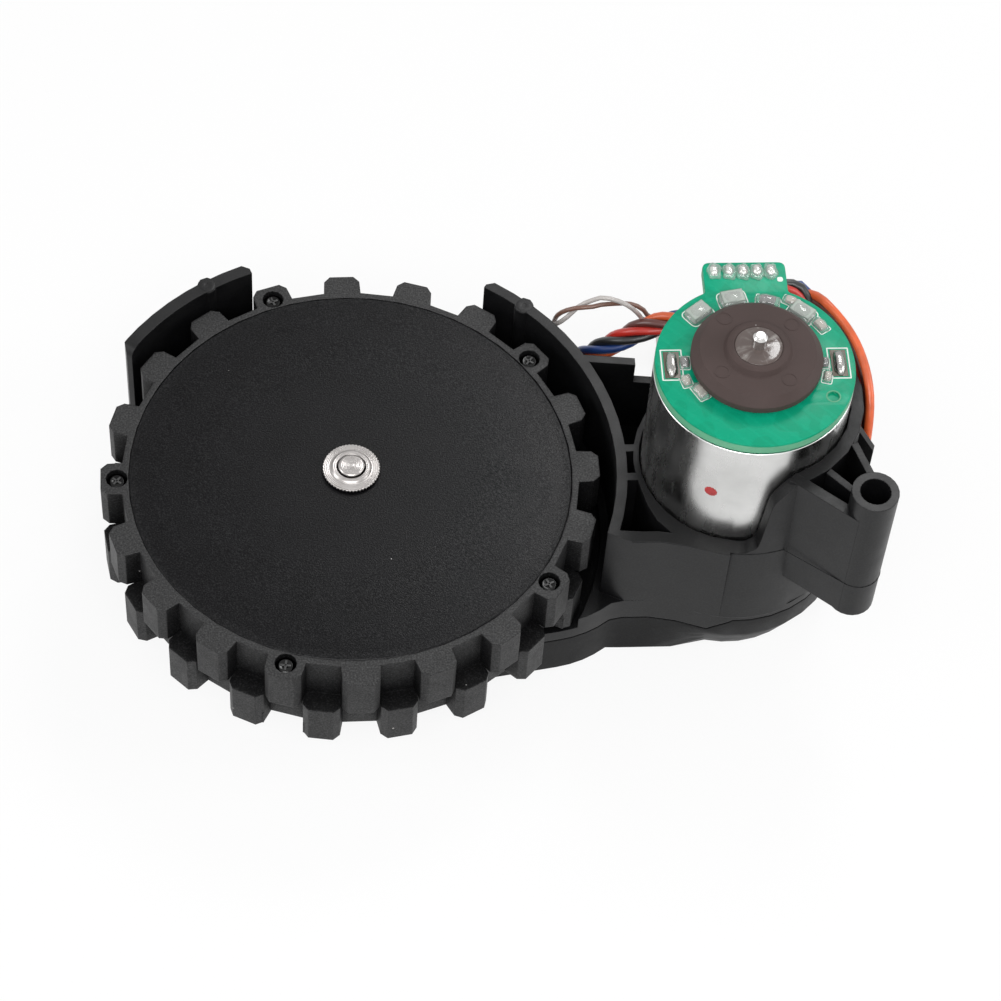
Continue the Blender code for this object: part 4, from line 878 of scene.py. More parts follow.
def turned_mesh(profile: Sequence[Point], centre: Point = ORIGIN, steps: int = 128,
                edge: float = 0.0) -> bpy.types.Mesh:
    """Profile turned about an upright axis.

    Args:
        profile: Closed loop of (radius, height), or an open one that starts and ends on the axis.
        centre: Axis in plan.
        steps: Steps round the axis.
        edge: Radius of the profile's corners.

    Returns:
        The mesh.
    """
    on_axis = profile[0][0] == 0.0 and profile[-1][0] == 0.0
    line = list(profile)
    if edge > 0.0:
        line = rounded(profile, edge, 3)
        if on_axis:
            line = [profile[0]] + [point for point in line if point[0] > TINY] + [profile[-1]]
    work = bmesh.new()
    rings: list[list[bmesh.types.BMVert]] = []
    for radius, height in line:
        if radius < TINY:
            rings.append([work.verts.new((centre[0] * MM, centre[1] * MM, height * MM))] * steps)
        else:
            rings.append([work.verts.new((x * MM, y * MM, height * MM))
                          for x, y in circle(radius, steps, centre)])
    for upper, lower in zip(rings, rings[1:] if on_axis else rings[1:] + rings[:1]):
        for i in range(steps):
            j = (i + 1) % steps
            corners = list(dict.fromkeys((upper[i], upper[j], lower[j], lower[i])))
            if len(corners) > 2:
                work.faces.new(corners)
    return finished(work, 35.0)


def box_mesh(size: Point3, middle: Point3, turn: float = 0.0, edge: float = 0.1) -> bpy.types.Mesh:
    """Block with rounded edges.

    Args:
        size: Length, width and height.
        middle: Middle point.
        turn: Turn about Z in degrees.
        edge: Radius of its edges.

    Returns:
        The mesh.
    """
    return plate_mesh([rounded(rectangle(size[0], size[1]), edge, 3)], -size[2] / 2, size[2] / 2, edge,
                      standing(middle, turn))


def blob_mesh(middle: Point3, size: Point3, lump: float, power: float,
              turn: float = 0.0) -> bpy.types.Mesh:
    """Soft dome that sits on a surface, with a lumpy outline.

    Args:
        middle: Middle of its foot.
        size: Length, width and height.
        lump: Share by which its outline wavers.
        power: Squareness of its outline, 2 for an ellipse.
        turn: Turn about Z in degrees.

    Returns:
        The mesh.
    """
    levels, steps = 7, 28
    lay = Matrix.Translation(Vector(middle)) @ Matrix.Rotation(math.radians(turn), 4, "Z")
    work = bmesh.new()
    rows: list[list[bmesh.types.BMVert]] = []
    for k in range(levels):
        climb = math.pi / 2 * k / levels
        rows.append([])
        for i in range(steps):
            way = 2 * math.pi * i / steps
            x, y = math.cos(way), math.sin(way)
            reach = (abs(x) ** power + abs(y) ** power) ** (-1 / power) * math.cos(climb) / 2
            reach *= 1 + lump * math.sin(3 * way + middle[0] * 7) * math.cos(2 * way + middle[1] * 5)
            spot = Vector((x * reach * size[0], y * reach * size[1], math.sin(climb) * size[2]))
            rows[-1].append(work.verts.new((lay @ spot) * MM))
    for lower, upper in zip(rows, rows[1:]):
        for i in range(steps):
            j = (i + 1) % steps
            work.faces.new((lower[i], lower[j], upper[j], upper[i]))
    work.faces.new(list(reversed(rows[0])))
    work.faces.new(rows[-1])
    return finished(work, 70.0)


def smooth_group(angle: float = 32.0) -> bpy.types.NodeTree:
    """Geometry nodes that join a solid's facets and shade its round stretches smooth.

    Args:
        angle: Angle in degrees above which an edge stays sharp.

    Returns:
        The shared node group.
    """
    group = bpy.data.node_groups.get("smooth_by_angle")
    if group is not None:
        return group
    group = bpy.data.node_groups.new("smooth_by_angle", "GeometryNodeTree")
    for way in ("INPUT", "OUTPUT"):
        group.interface.new_socket("Geometry", in_out=way, socket_type="NodeSocketGeometry")
    start, merge, clear, faces, edges, fold, sharp, end = (group.nodes.new(kind) for kind in (
        "NodeGroupInput", "GeometryNodeMergeByDistance", "GeometryNodeRemoveAttribute",
        "GeometryNodeSetShadeSmooth", "GeometryNodeSetShadeSmooth", "GeometryNodeInputMeshEdgeAngle",
        "FunctionNodeCompare", "NodeGroupOutput"))
    merge.inputs["Distance"].default_value = TINY
    clear.inputs["Name"].default_value = "custom_normal"
    faces.domain = "FACE"
    edges.domain = "EDGE"
    edges.inputs["Shade Smooth"].default_value = False
    sharp.data_type = "FLOAT"
    sharp.operation = "GREATER_THAN"
    sharp.inputs["B"].default_value = math.radians(angle)
    group.links.new(fold.outputs["Unsigned Angle"], sharp.inputs["A"])
    group.links.new(sharp.outputs["Result"], edges.inputs["Selection"])
    chain = (start, merge, clear, faces, edges, end)
    for first, second in zip(chain, chain[1:]):
        group.links.new(first.outputs[0], second.inputs[0])
    return group


def shade_smooth(piece: bpy.types.Object) -> None:
    """Shade a solid's round stretches smooth."""
    piece.modifiers.new("smooth_shading", "NODES").node_group = smooth_group()


def wear_edges(piece: bpy.types.Object, width: float) -> None:
    """Round a solid's sharp edges.

    Args:
        piece: Object to work on.
        width: Width of the worn edges in millimetres.
    """
    piece.modifiers.new("joined_facets", "WELD").merge_threshold = TINY
    flat = piece.modifiers.new("flat_faces", "DECIMATE")
    flat.decimate_type = "DISSOLVE"
    flat.angle_limit = math.radians(1.0)
    worn = piece.modifiers.new("worn_edges", "BEVEL")
    worn.width = width * MM
    worn.segments = 2
    worn.limit_method = "ANGLE"
    worn.angle_limit = math.radians(30.0)


def dress_node(name: str, finish: Finish) -> None:
    """Give a CAD node its finish and smooth shading; its mesh stays as it is.

    Args:
        name: Name of the node.
        finish: Finish of its surface.
    """
    node = frame["nodes"][name]
    node.data.materials.clear()
    node.data.materials.append(finish.material())
    shade_smooth(node)


@dataclass(frozen=True)
class Viewpoint:
    """Camera that stands where the photograph was taken, in millimetres and degrees."""

    target: Point3 = (20.166, -5.041, 24.5)
    distance: float = 449.155
    elevation: float = 55.148
    roll: float = 4.904
    turn: float = -7.0446
    focal_pixels: float = 3300.0
    frame_pixels: float = 1001.0
    sensor: float = 36.0
    clip: Point = (0.01, 10.0)

    def build(self) -> None:
        """Create the camera and make it the scene's."""
        rise = math.radians(self.elevation)
        lean = math.radians(self.roll)
        right = Vector((1.0, 0.0, 0.0))
        up = Vector((0.0, math.sin(rise), math.cos(rise)))
        back = Vector((0.0, -math.cos(rise), math.sin(rise)))
        tilted = math.cos(lean) * right + math.sin(lean) * up
        upright = -math.sin(lean) * right + math.cos(lean) * up
        spin = Matrix.Rotation(math.radians(self.turn), 3, "Z")
        axes = Matrix((spin @ tilted, spin @ upright, spin @ back)).transposed()
        data = bpy.data.cameras.new("photo_camera")
        data.sensor_width = self.sensor
        data.lens = self.focal_pixels / self.frame_pixels * self.sensor
        data.clip_start, data.clip_end = self.clip
        camera = bpy.data.objects.new("photo_camera", data)
        place = (Vector(self.target) + self.distance * (spin @ back)) * MM
        camera.matrix_world = Matrix.Translation(place) @ axes.to_4x4()
        bpy.context.scene.collection.objects.link(camera)
        bpy.context.scene.camera = camera


@dataclass(frozen=True)
class Lamp:
    """One soft area lamp, aimed at the module."""

    name: str
    place: Point3
    size: Point
    watts: float
    aim: Point3 = (22.0, 0.0, 18.0)

    def build(self) -> None:
        """Create the lamp."""
        data = bpy.data.lights.new(self.name, "AREA")
        data.shape = "RECTANGLE"
        data.size = self.size[0] * MM
        data.size_y = self.size[1] * MM
        data.energy = self.watts
        lamp = bpy.data.objects.new(self.name, data)
        lamp.location = Vector(self.place) * MM
        aim = Vector(self.aim) - Vector(self.place)
        lamp.rotation_euler = aim.to_track_quat("-Z", "Y").to_euler()
        bpy.context.scene.collection.objects.link(lamp)


@dataclass(frozen=True)
class PaleFloor(Finish):
    """Pale floor that shows near white to the camera and keeps the soft shadow."""

    whiteness: float = 0.88

    def dress(self, kit: Nodes) -> None:
        """Mix the lit floor with plain white for camera and reflection rays.

        Args:
            kit: Nodes of the material.
        """
        tone = kit.blend(kit.noise(60.0, 2.0), (0.83, 0.83, 0.83), (0.85, 0.85, 0.85))
        kit.feed(kit.shader.inputs["Base Color"], tone)
        kit.set(Roughness=0.9, Specular_IOR_Level=0.1)
        white = kit.node("Emission", Color=WHITE)
        mixed = kit.node("MixShader")
        sources = (kit.maths("MULTIPLY", kit.seen(), self.whiteness), kit.shader.outputs["BSDF"],
                   white.outputs["Emission"])
        for socket, source in zip(mixed.inputs, sources):
            kit.feed(socket, source)
        kit.feed(kit.tree.nodes["Material Output"].inputs["Surface"], mixed.outputs["Shader"])


@dataclass
class Studio:
    """Floor, lamps and the even light of the room."""

    floor_size: float = 4000.0
    room_light: float = 0.25
    lamps: tuple[Lamp, ...] = (
        Lamp("front_box", (-20.0, -430.0, 560.0), (520.0, 300.0), 3.3),
        Lamp("left_box", (-540.0, -60.0, 260.0), (240.0, 380.0), 1.3),
        Lamp("right_box", (560.0, -60.0, 280.0), (240.0, 380.0), 1.3),
        Lamp("back_glow", (150.0, 258.0, 393.0), (150.0, 120.0), 0.6),
    )

    def build(self) -> None:
        """Create the floor, the lamps and the world."""
        mesh = bpy.data.meshes.new("floor")
        corners = rectangle(self.floor_size * MM, self.floor_size * MM)
        mesh.from_pydata([(x, y, 0.0) for x, y in corners], [], [(0, 1, 2, 3)])
        mesh.materials.append(PaleFloor("pale_floor").material())
        floor = bpy.data.objects.new("floor", mesh)
        bpy.context.scene.collection.objects.link(floor)
        for lamp in self.lamps:
            lamp.build()
        self.light_room()
        bpy.context.scene.view_settings.view_transform = "Standard"

    def light_room(self) -> None:
        """Light the world evenly, and show it white to the camera and in reflections."""
        world = bpy.data.worlds.new("room")
        bpy.context.scene.world = world
        world.use_nodes = True
        kit = Nodes(world.node_tree)
        soft = kit.node("Background", Color=WHITE, Strength=self.room_light)
        white = kit.node("Background", Color=WHITE)
        mixed = kit.node("MixShader")
        sources = (kit.seen(), soft.outputs["Background"], white.outputs["Background"])
        for socket, source in zip(mixed.inputs, sources):
            kit.feed(socket, source)
        kit.feed(kit.tree.nodes["World Output"].inputs["Surface"], mixed.outputs["Shader"])


def smooth_route(route: Sequence[Vector], spacing: float) -> list[Vector]:
    """Points at an even spacing on a smooth curve through the route.

    Args:
        route: Points of the route.
        spacing: Distance between the new points.

    Returns:
        The evenly spaced points.
    """
    steps = 24
    knots = [2 * route[0] - route[1]] + list(route) + [2 * route[-1] - route[-2]]
    fine: list[Vector] = []
    for a, b, c, d in zip(knots, knots[1:], knots[2:], knots[3:]):
        for i in range(steps):
            t = i / steps
            fine.append(0.5 * (2 * b + (c - a) * t + (2 * a - 5 * b + 4 * c - d) * t * t
                               + (3 * b - a - 3 * c + d) * t ** 3))
    fine.append(knots[-2].copy())
    length = walk(fine)
    count = max(4, round(length / spacing))
    even = [fine[0]]
    walked = 0.0
    for p, q in zip(fine, fine[1:]):
        step = (q - p).length
        while len(even) < count and walked + step >= len(even) * length / count:
            even.append(p.lerp(q, (len(even) * length / count - walked) / step))
        walked += step
    even.append(fine[-1])
    return even


def walk(points: Sequence[Vector]) -> float:
    """Length of the way through some points."""
    return sum((q - p).length for p, q in zip(points, points[1:]))


@dataclass(frozen=True)
class Lead:
    """One insulated lead of a twisted group."""

    name: str
    finish: Finish


@dataclass(frozen=True)
class Twist:
    """Leads laid round a shared route, and side by side where it is pressed on the motor's cup."""

    route: tuple[Point3, ...]
    leads: tuple[Lead, ...]
    radius: float
    lay_radius: float
    pitch: float
    end: str
    spacing: float = 1.2
    waver: float = 0.10
    waver_rate: float = 0.31
    waver_shift: float = 2.1
    pressed_reach: float = 16.45
    free_reach: float = 19.4
    reach_ease: float = 1.4
    free_start: float = 3.0
    start_ease: float = 6.0
    side_step: float = 1.96

    def points(self, index: int) -> list[Vector]:
        """Centre line of one lead.

        Args:
            index: Number of the lead in the group.

        Returns:
            Points along the lead, in millimetres.
        """
        x = LEVELS.motor[0]
        middle = smooth_route([Vector((x + point[0], *point[1:])) for point in self.route], self.spacing)
        made = []
        walked = 0.0
        side = Vector((0.0, 0.0, 1.0))
        for i, here in enumerate(middle):
            ahead = middle[min(i + 1, len(middle) - 1)] - middle[max(i - 1, 0)]
            ahead.normalize()
            side = (side - ahead * side.dot(ahead)).normalized()
            other = ahead.cross(side)
            if i:
                walked += (here - middle[i - 1]).length
            turn = 2 * math.pi * (walked / self.pitch + index / len(self.leads))
            wave = math.sin(walked * self.waver_rate + index * self.waver_shift)
            reach = self.lay_radius * (1.0 + self.waver * wave)
            offset = (side * math.cos(turn) + other * math.sin(turn)) * reach
            made.append(here + self.stack(here, ahead, offset, index, walked))
        return made

    def stack(self, here: Vector, ahead: Vector, offset: Vector, index: int, walked: float) -> Vector:
        """Lay the leads side by side where the group is pressed against the motor's cup.

        Args:
            here: Point on the route.
            ahead: Direction of the route.
            offset: Offset of the lead in the free twist.
            index: Number of the lead.
            walked: Length walked from the start.

        Returns:
            The offset of the lead.
        """
        out = Vector((here.x - LEVELS.motor[0], here.y - LEVELS.motor[1], 0.0))
        reach = out.length
        out.normalize()
        share = min(1.0, max(0.0, (self.free_reach - reach) / self.reach_ease))
        share *= min(1.0, max(0.0, (walked - self.free_start) / self.start_ease))
        across = ahead.cross(out).normalized()
        rank = (index + 2) % len(self.leads) - (len(self.leads) - 1) / 2
        flat = across * (rank * self.radius * self.side_step) - out * (reach - self.pressed_reach)
        return offset.lerp(flat, share * share * (3 - 2 * share))

    def build(self, node: str) -> list[bpy.types.Object]:
        """Create the leads as tubes.

        Args:
            node: CAD node that they stand for.

        Returns:
            The lead objects.
        """
        return [put(lead.name, round_bar(self.points(index), self.radius, 3, capped=True), lead.finish,
                    node="" if index else node) for index, lead in enumerate(self.leads)]

    def declare(self, pieces: Sequence[bpy.types.Object], plugs: list[bpy.types.Object]) -> None:
        """Work out the centre line of each lead again, and keep nothing.

        Args:
            pieces: The lead objects.
            plugs: Pieces on them; not used.
        """
        for index, piece in enumerate(pieces):
            points = self.points(index)


@dataclass(frozen=True)
class Harness:
    """Twisted bundle from the board to its plug, and the thin pair beside it.

    The routes are the ones that the CAD solids lie on, with X counted from the motor's axis.
    """

    plug_trim: float = 4.6
    windows: int = 5
    window_pitch: float = 0.95
    window_size: Point3 = (3.2, 0.5, 0.3)
    bundle_route: tuple[Point3, ...] = (
        (4.5, 14.6, 44.6), (8.1, 15.2, 43.7), (12.7, 11.9, 42.2), (15.9, 7.1, 40.2),
        (17.5, 1.6, 37.0), (17.6, -1.2, 32.0), (17.8, 2.6, 26.5), (15.4, 10.0, 23.6),
        (8.9, 17.4, 23.6), (2.0, 21.4, 25.8), (-5.0, 22.4, 28.3), (-10.3, 22.8, 26.6),
        (-15.0, 23.0, 22.8), (-19.0, 23.8, 18.4), (-21.4, 26.4, 12.6), (-20.5, 28.5, 6.5),
        (-15.5, 26.5, 2.2), (-8.0, 24.5, 1.9), (1.0, 26.0, 1.9), (7.5, 29.0, 1.9),
        (9.5, 34.0, 1.9), (7.0, 37.8, 2.4), (2.3, 38.5, 2.7))
    pair_route: tuple[Point3, ...] = (
        (-4.0, 24.5, 26.3), (-7.2, 25.2, 25.4), (-10.3, 25.5, 25.1), (-11.7, 25.3, 27.2),
        (-13.9, 25.0, 29.1), (-17.0, 25.0, 29.9), (-18.9, 25.0, 29.2), (-20.9, 25.0, 28.3),
        (-23.2, 25.5, 25.1), (-24.1, 27.6, 20.8), (-24.0, 29.4, 15.4), (-22.8, 30.6, 10.2),
        (-20.6, 31.2, 7.0))

    def build(self) -> None:
        bundle = (Lead("lead_red", RED), Lead("lead_maroon", MAROON), Lead("lead_orange", ORANGE),
                  Lead("lead_blue", BLUE), Lead("lead_black", DARK))
        pair = (Lead("lead_grey", GREY), Lead("lead_brown", BROWN_WIRE))
        thick = Twist(self.bundle_route, bundle, 0.62, 1.06, 17.0, "connector")
        thin = Twist(self.pair_route, pair, 0.34, 0.5, 14.0, "object")
        thick_leads = thick.build("wire_bundle")
        thin_leads = thin.build("wire_pair")
        thick.declare(thick_leads, [self.build_plug()])
        thin.declare(thin_leads, [])

    def build_plug(self) -> bpy.types.Object:
        """Plug housing with rounded edges, and dark boxes as its contact windows, painted shade.

        Returns:
            The plug object.
        """
        low, high = cad_box("harness_plug")
        low.x += self.plug_trim
        middle = (low + high) / 2
        plug = put("harness_plug_shell", box_mesh(tuple(high - low), tuple(middle), edge=0.35), NYLON,
                   node="harness_plug")
        for i in range(self.windows):
            y = middle.y + (i - self.windows // 2) * self.window_pitch
            # Painted shade: dark boxes stand in for the shade inside the contact windows.
            window = box_mesh(self.window_size, (middle.x - 1.5, y, high.z - 0.1), edge=0.05)
            put("plug_window_%d" % i, window, EPOXY_AND_SHADE).parent = plug
        return plug


@dataclass(frozen=True)
class Block:
    """Flat-sided block on a radius, joined to a wheel solid or cut from it.

    Its inner and outer faces are given as radius and half width, in millimetres.
    """

    work: Work
    near: Point
    far: Point
    low: float
    high: float

    def tool(self, angle: float) -> bpy.types.Object:
        """Create the block as a temporary object.

        Args:
            angle: Angle of the radius in degrees.

        Returns:
            The object.
        """
        middle = (self.near[0] + self.far[0]) / 2
        mesh = box_mesh((self.far[0] - self.near[0], 2.0, self.high - self.low),
                        (middle, 0.0, (self.low + self.high) / 2), edge=0.0)
        for vertex in mesh.vertices:
            half = self.near[1] if vertex.co.x < middle * MM else self.far[1]
            vertex.co.y = math.copysign(half * MM, vertex.co.y)
        mesh.transform(Matrix.Rotation(math.radians(angle), 4, "Z"))
        tool = bpy.data.objects.new("block", mesh)
        bpy.context.scene.collection.objects.link(tool)
        return tool


@dataclass(frozen=True)
class Wheel:
    """Tread, cover disc, screws and the axle's end. Profiles are pairs of radius and height."""

    first_lug: float = 108.8
    screws: int = 5
    screw_circle: float = 31.85
    screw_sink: float = 0.5
    cross: Point3 = (1.5, 0.3, 0.4)
    tread_edge: float = 0.38
    disc_fit: float = 0.22
    disc_hole: float = 2.6
    disc_rim: float = 1.6
    disc_drop: float = 0.42
    teeth_steps: int = 208
    teeth: Point = (3.82, 3.93)
    pin_bottom: float = 0.7
    screw_profile: tuple[Point, ...] = (
        (0.0, -0.3), (0.5, -0.05), (0.9, 0.0), (1.25, -0.2), (1.4, -0.5), (1.35, -0.9), (0.85, -0.9),
        (0.85, -5.0), (0.0, -5.2))
    pin_profile: tuple[Point, ...] = (
        (0.0, -0.05), (0.55, -0.05), (0.62, 0.0), (1.5, 0.0), (1.78, -0.14))
    washer_profile: tuple[Point, ...] = (
        (2.55, 0.72), (2.75, 0.5), (2.95, 0.42), (3.6, 0.40), (3.75, 0.2), (3.75, 0.0), (1.95, 0.0),
        (1.95, 0.62), (2.1, 0.72))

    def build(self) -> None:
        """Create the tread and rim, the disc, the screws and the axle's end."""
        bottom = LEVELS.tyre_bottom
        middle = (bottom + LEVELS.tyre_top) / 2
        # Fill the ear's notch, cut the boss back between the lower lugs and flush with their tips,
        # then close the band behind it.
        tread = self.build_trimmed("tread", "tyre", RUBBER, (
            Block(Work.FILL, (29.2, 2.9), (33.3, 2.9), bottom, bottom + 2.35),
            Block(Work.CUT, (31.1, 2.29), (36.0, 3.31), bottom - 1.0, middle),
            Block(Work.CUT, (34.04, 3.4), (36.0, 3.4), middle - 0.5, middle + 1.1),
            Block(Work.FILL, (29.2, 2.2), (31.115, 2.295), bottom, middle + 0.3)))
        wear_edges(tread, self.tread_edge)
        rim = self.build_trimmed("rim", "wheel_rim", BLACK, (
            Block(Work.CUT, (29.0, 4.0), (36.0, 4.0), bottom - 1.0, middle),))
        shade_smooth(tread)
        shade_smooth(rim)
        self.build_disc()
        self.build_screws()
        self.build_axle()

    def screw_angles(self) -> list[float]:
        """Angles of the wheel screws in degrees."""
        return [self.first_lug + 360.0 / self.screws * i for i in range(self.screws)]

    def build_trimmed(self, name: str, node: str, finish: Finish,
                      blocks: Sequence[Block]) -> bpy.types.Object:
        """Copy a CAD solid and take its screw bosses back to the band under the upper lugs.

        Args:
            name: Name of the piece.
            node: CAD node that it stands for.
            finish: Finish of its surface.
            blocks: Blocks that work on it at each screw, in order.

        Returns:
            The piece.
        """
        piece = put(name, frame["nodes"][node].data.copy(), finish, Body.WHEEL, node)
        tools = [(block.work, block.tool(angle)) for angle in self.screw_angles() for block in blocks]
        for work, tool in tools:
            trim = piece.modifiers.new("trim", "BOOLEAN")
            trim.operation = work.value
            trim.solver = "EXACT"
            trim.object = tool
        piece.data = taken(piece)
        piece.data.name = name
        piece.modifiers.clear()
        for _, tool in tools:
            bpy.data.objects.remove(tool, do_unlink=True)
        return piece

    def build_disc(self) -> None:
        """Cover disc: shallow dome, fine bevelled edge and a dished hub."""
        top = LEVELS.tyre_top
        crown = LEVELS.disc_top
        radius = LEVELS.disc + self.disc_fit
        reach = radius - self.disc_rim - self.disc_hole
        dome = [(self.disc_hole + reach * i / 16, crown - self.disc_drop * (i / 16) ** 4)
                for i in range(17)]
        edge = [(radius - 0.75, crown - 0.5), (radius - 0.2, top + 0.03), (radius, top - 0.08),
                (radius, top - 2.2), (self.disc_hole, top - 2.2)]
        put("cover_disc", turned_mesh(dome + edge, steps=240, edge=0.12), DISC, Body.WHEEL, "wheel_disc")

    def build_screws(self) -> None:
        """Cross-recessed screws sunk in the lugs; each cross recess is a dark box, painted shade."""
        top = LEVELS.tyre_top - self.screw_sink
        for i, angle in enumerate(self.screw_angles()):
            spot = polar(self.screw_circle, angle)
            name = "tread_screw_%d" % (i + 1)
            put(name, turned_mesh(raised(self.screw_profile, top), spot, 36, 0.08), BLACK_STEEL,
                Body.WHEEL, "wheel_screw_%d" % (i + 1))
            # Painted shade: dark boxes on the head stand in for the shade in the cross recess.
            for j in range(2):
                turn = 20.0 + 90.0 * j + 31.0 * i
                cross = box_mesh(self.cross, (*spot, top - 0.15), turn, 0.04)
                put("%s_slot_%d" % (name, j), cross, EPOXY_AND_SHADE, Body.WHEEL)

    def build_axle(self) -> None:
        """Axle end and the push-on washer with its ring and fine teeth."""
        pin = raised(self.pin_profile, cad_box("axle_pin")[1].z)
        pin += [(pin[-1][0], self.pin_bottom), (0.0, self.pin_bottom)]
        put("axle_end", turned_mesh(pin, steps=64, edge=0.06), STEEL, node="axle_pin")
        low = cad_box("axle_washer")[0].z
        put("washer_ring", turned_mesh(raised(self.washer_profile, low), steps=96, edge=0.05), STEEL,
            node="axle_washer")
        star = [polar(self.teeth[1 if i % 4 in (1, 2) else 0], 360.0 * i / self.teeth_steps)
                for i in range(self.teeth_steps)]
        put("washer_teeth", plate_mesh([star, circle(3.4, 64)], low + 0.02, low + 0.34, 0.05), STEEL)


@dataclass(frozen=True)
class Casing:
    """Frame moulding and lower cover in black plastic, with the mould's parting line."""

    wall_inner: float = 36.2
    wall_outer: float = 37.7
    wall_rise: float = 1.9
    front_y: float = -13.5
    cup_radius: float = 15.75
    tube: Point = (67.41, -18.18)
    tube_radius: float = 3.15
    rib_radius: float = 1.38
    rib_bottom: float = 12.2
    rib_lift: float = 0.02
    rib_angles: Point = (47.2, 121.9)
    line_drop: float = 0.15
    line_radius: float = 0.06

    def build(self) -> None:
        """Dress the two mouldings, round their upright ribs and draw the parting line."""
        dress_node("housing_frame", BLACK)
        dress_node("lower_cover", COVER)
        wall_top = LEVELS.tyre_top + self.wall_rise
        top = wall_top + self.rib_lift
        profile = [(0.0, top), (self.rib_radius, top), (self.rib_radius, self.rib_bottom),
                   (0.0, self.rib_bottom)]
        for name, angle in zip(("right_wall_rib", "left_wall_rib"), self.rib_angles):
            middle = polar((self.wall_inner + self.wall_outer) / 2, angle)
            put(name, turned_mesh(profile, middle, 48, 0.35), BLACK)
        height = wall_top - self.line_drop
        line = [(x, y, height) for x, y in self.parting_path()]
        put("parting_line", round_bar(line, self.line_radius, 1), BLACK)

    def parting_path(self) -> list[Point]:
        """Path of the fine bead that the mould's halves leave round the front.

        Returns:
            Points in plan.
        """
        corner = polar(self.wall_outer + 2.1, -19.8)
        path = [corner, (corner[0] + 3.6, self.front_y), (corner[0] + 7.4, self.front_y - 0.7)]
        path += arc(self.cup_radius + 0.3, -103.0, -99.0, 2, LEVELS.motor)
        path += arc(self.cup_radius, -98.0, -72.5, 16, LEVELS.motor)
        return path + arc(self.tube_radius, -129.3, 15.0, 24, self.tube)


@dataclass(frozen=True)
class Chip:
    """Small board chip, placed about the motor's axis."""

    radius: float
    angle: float
    length: float
    width: float


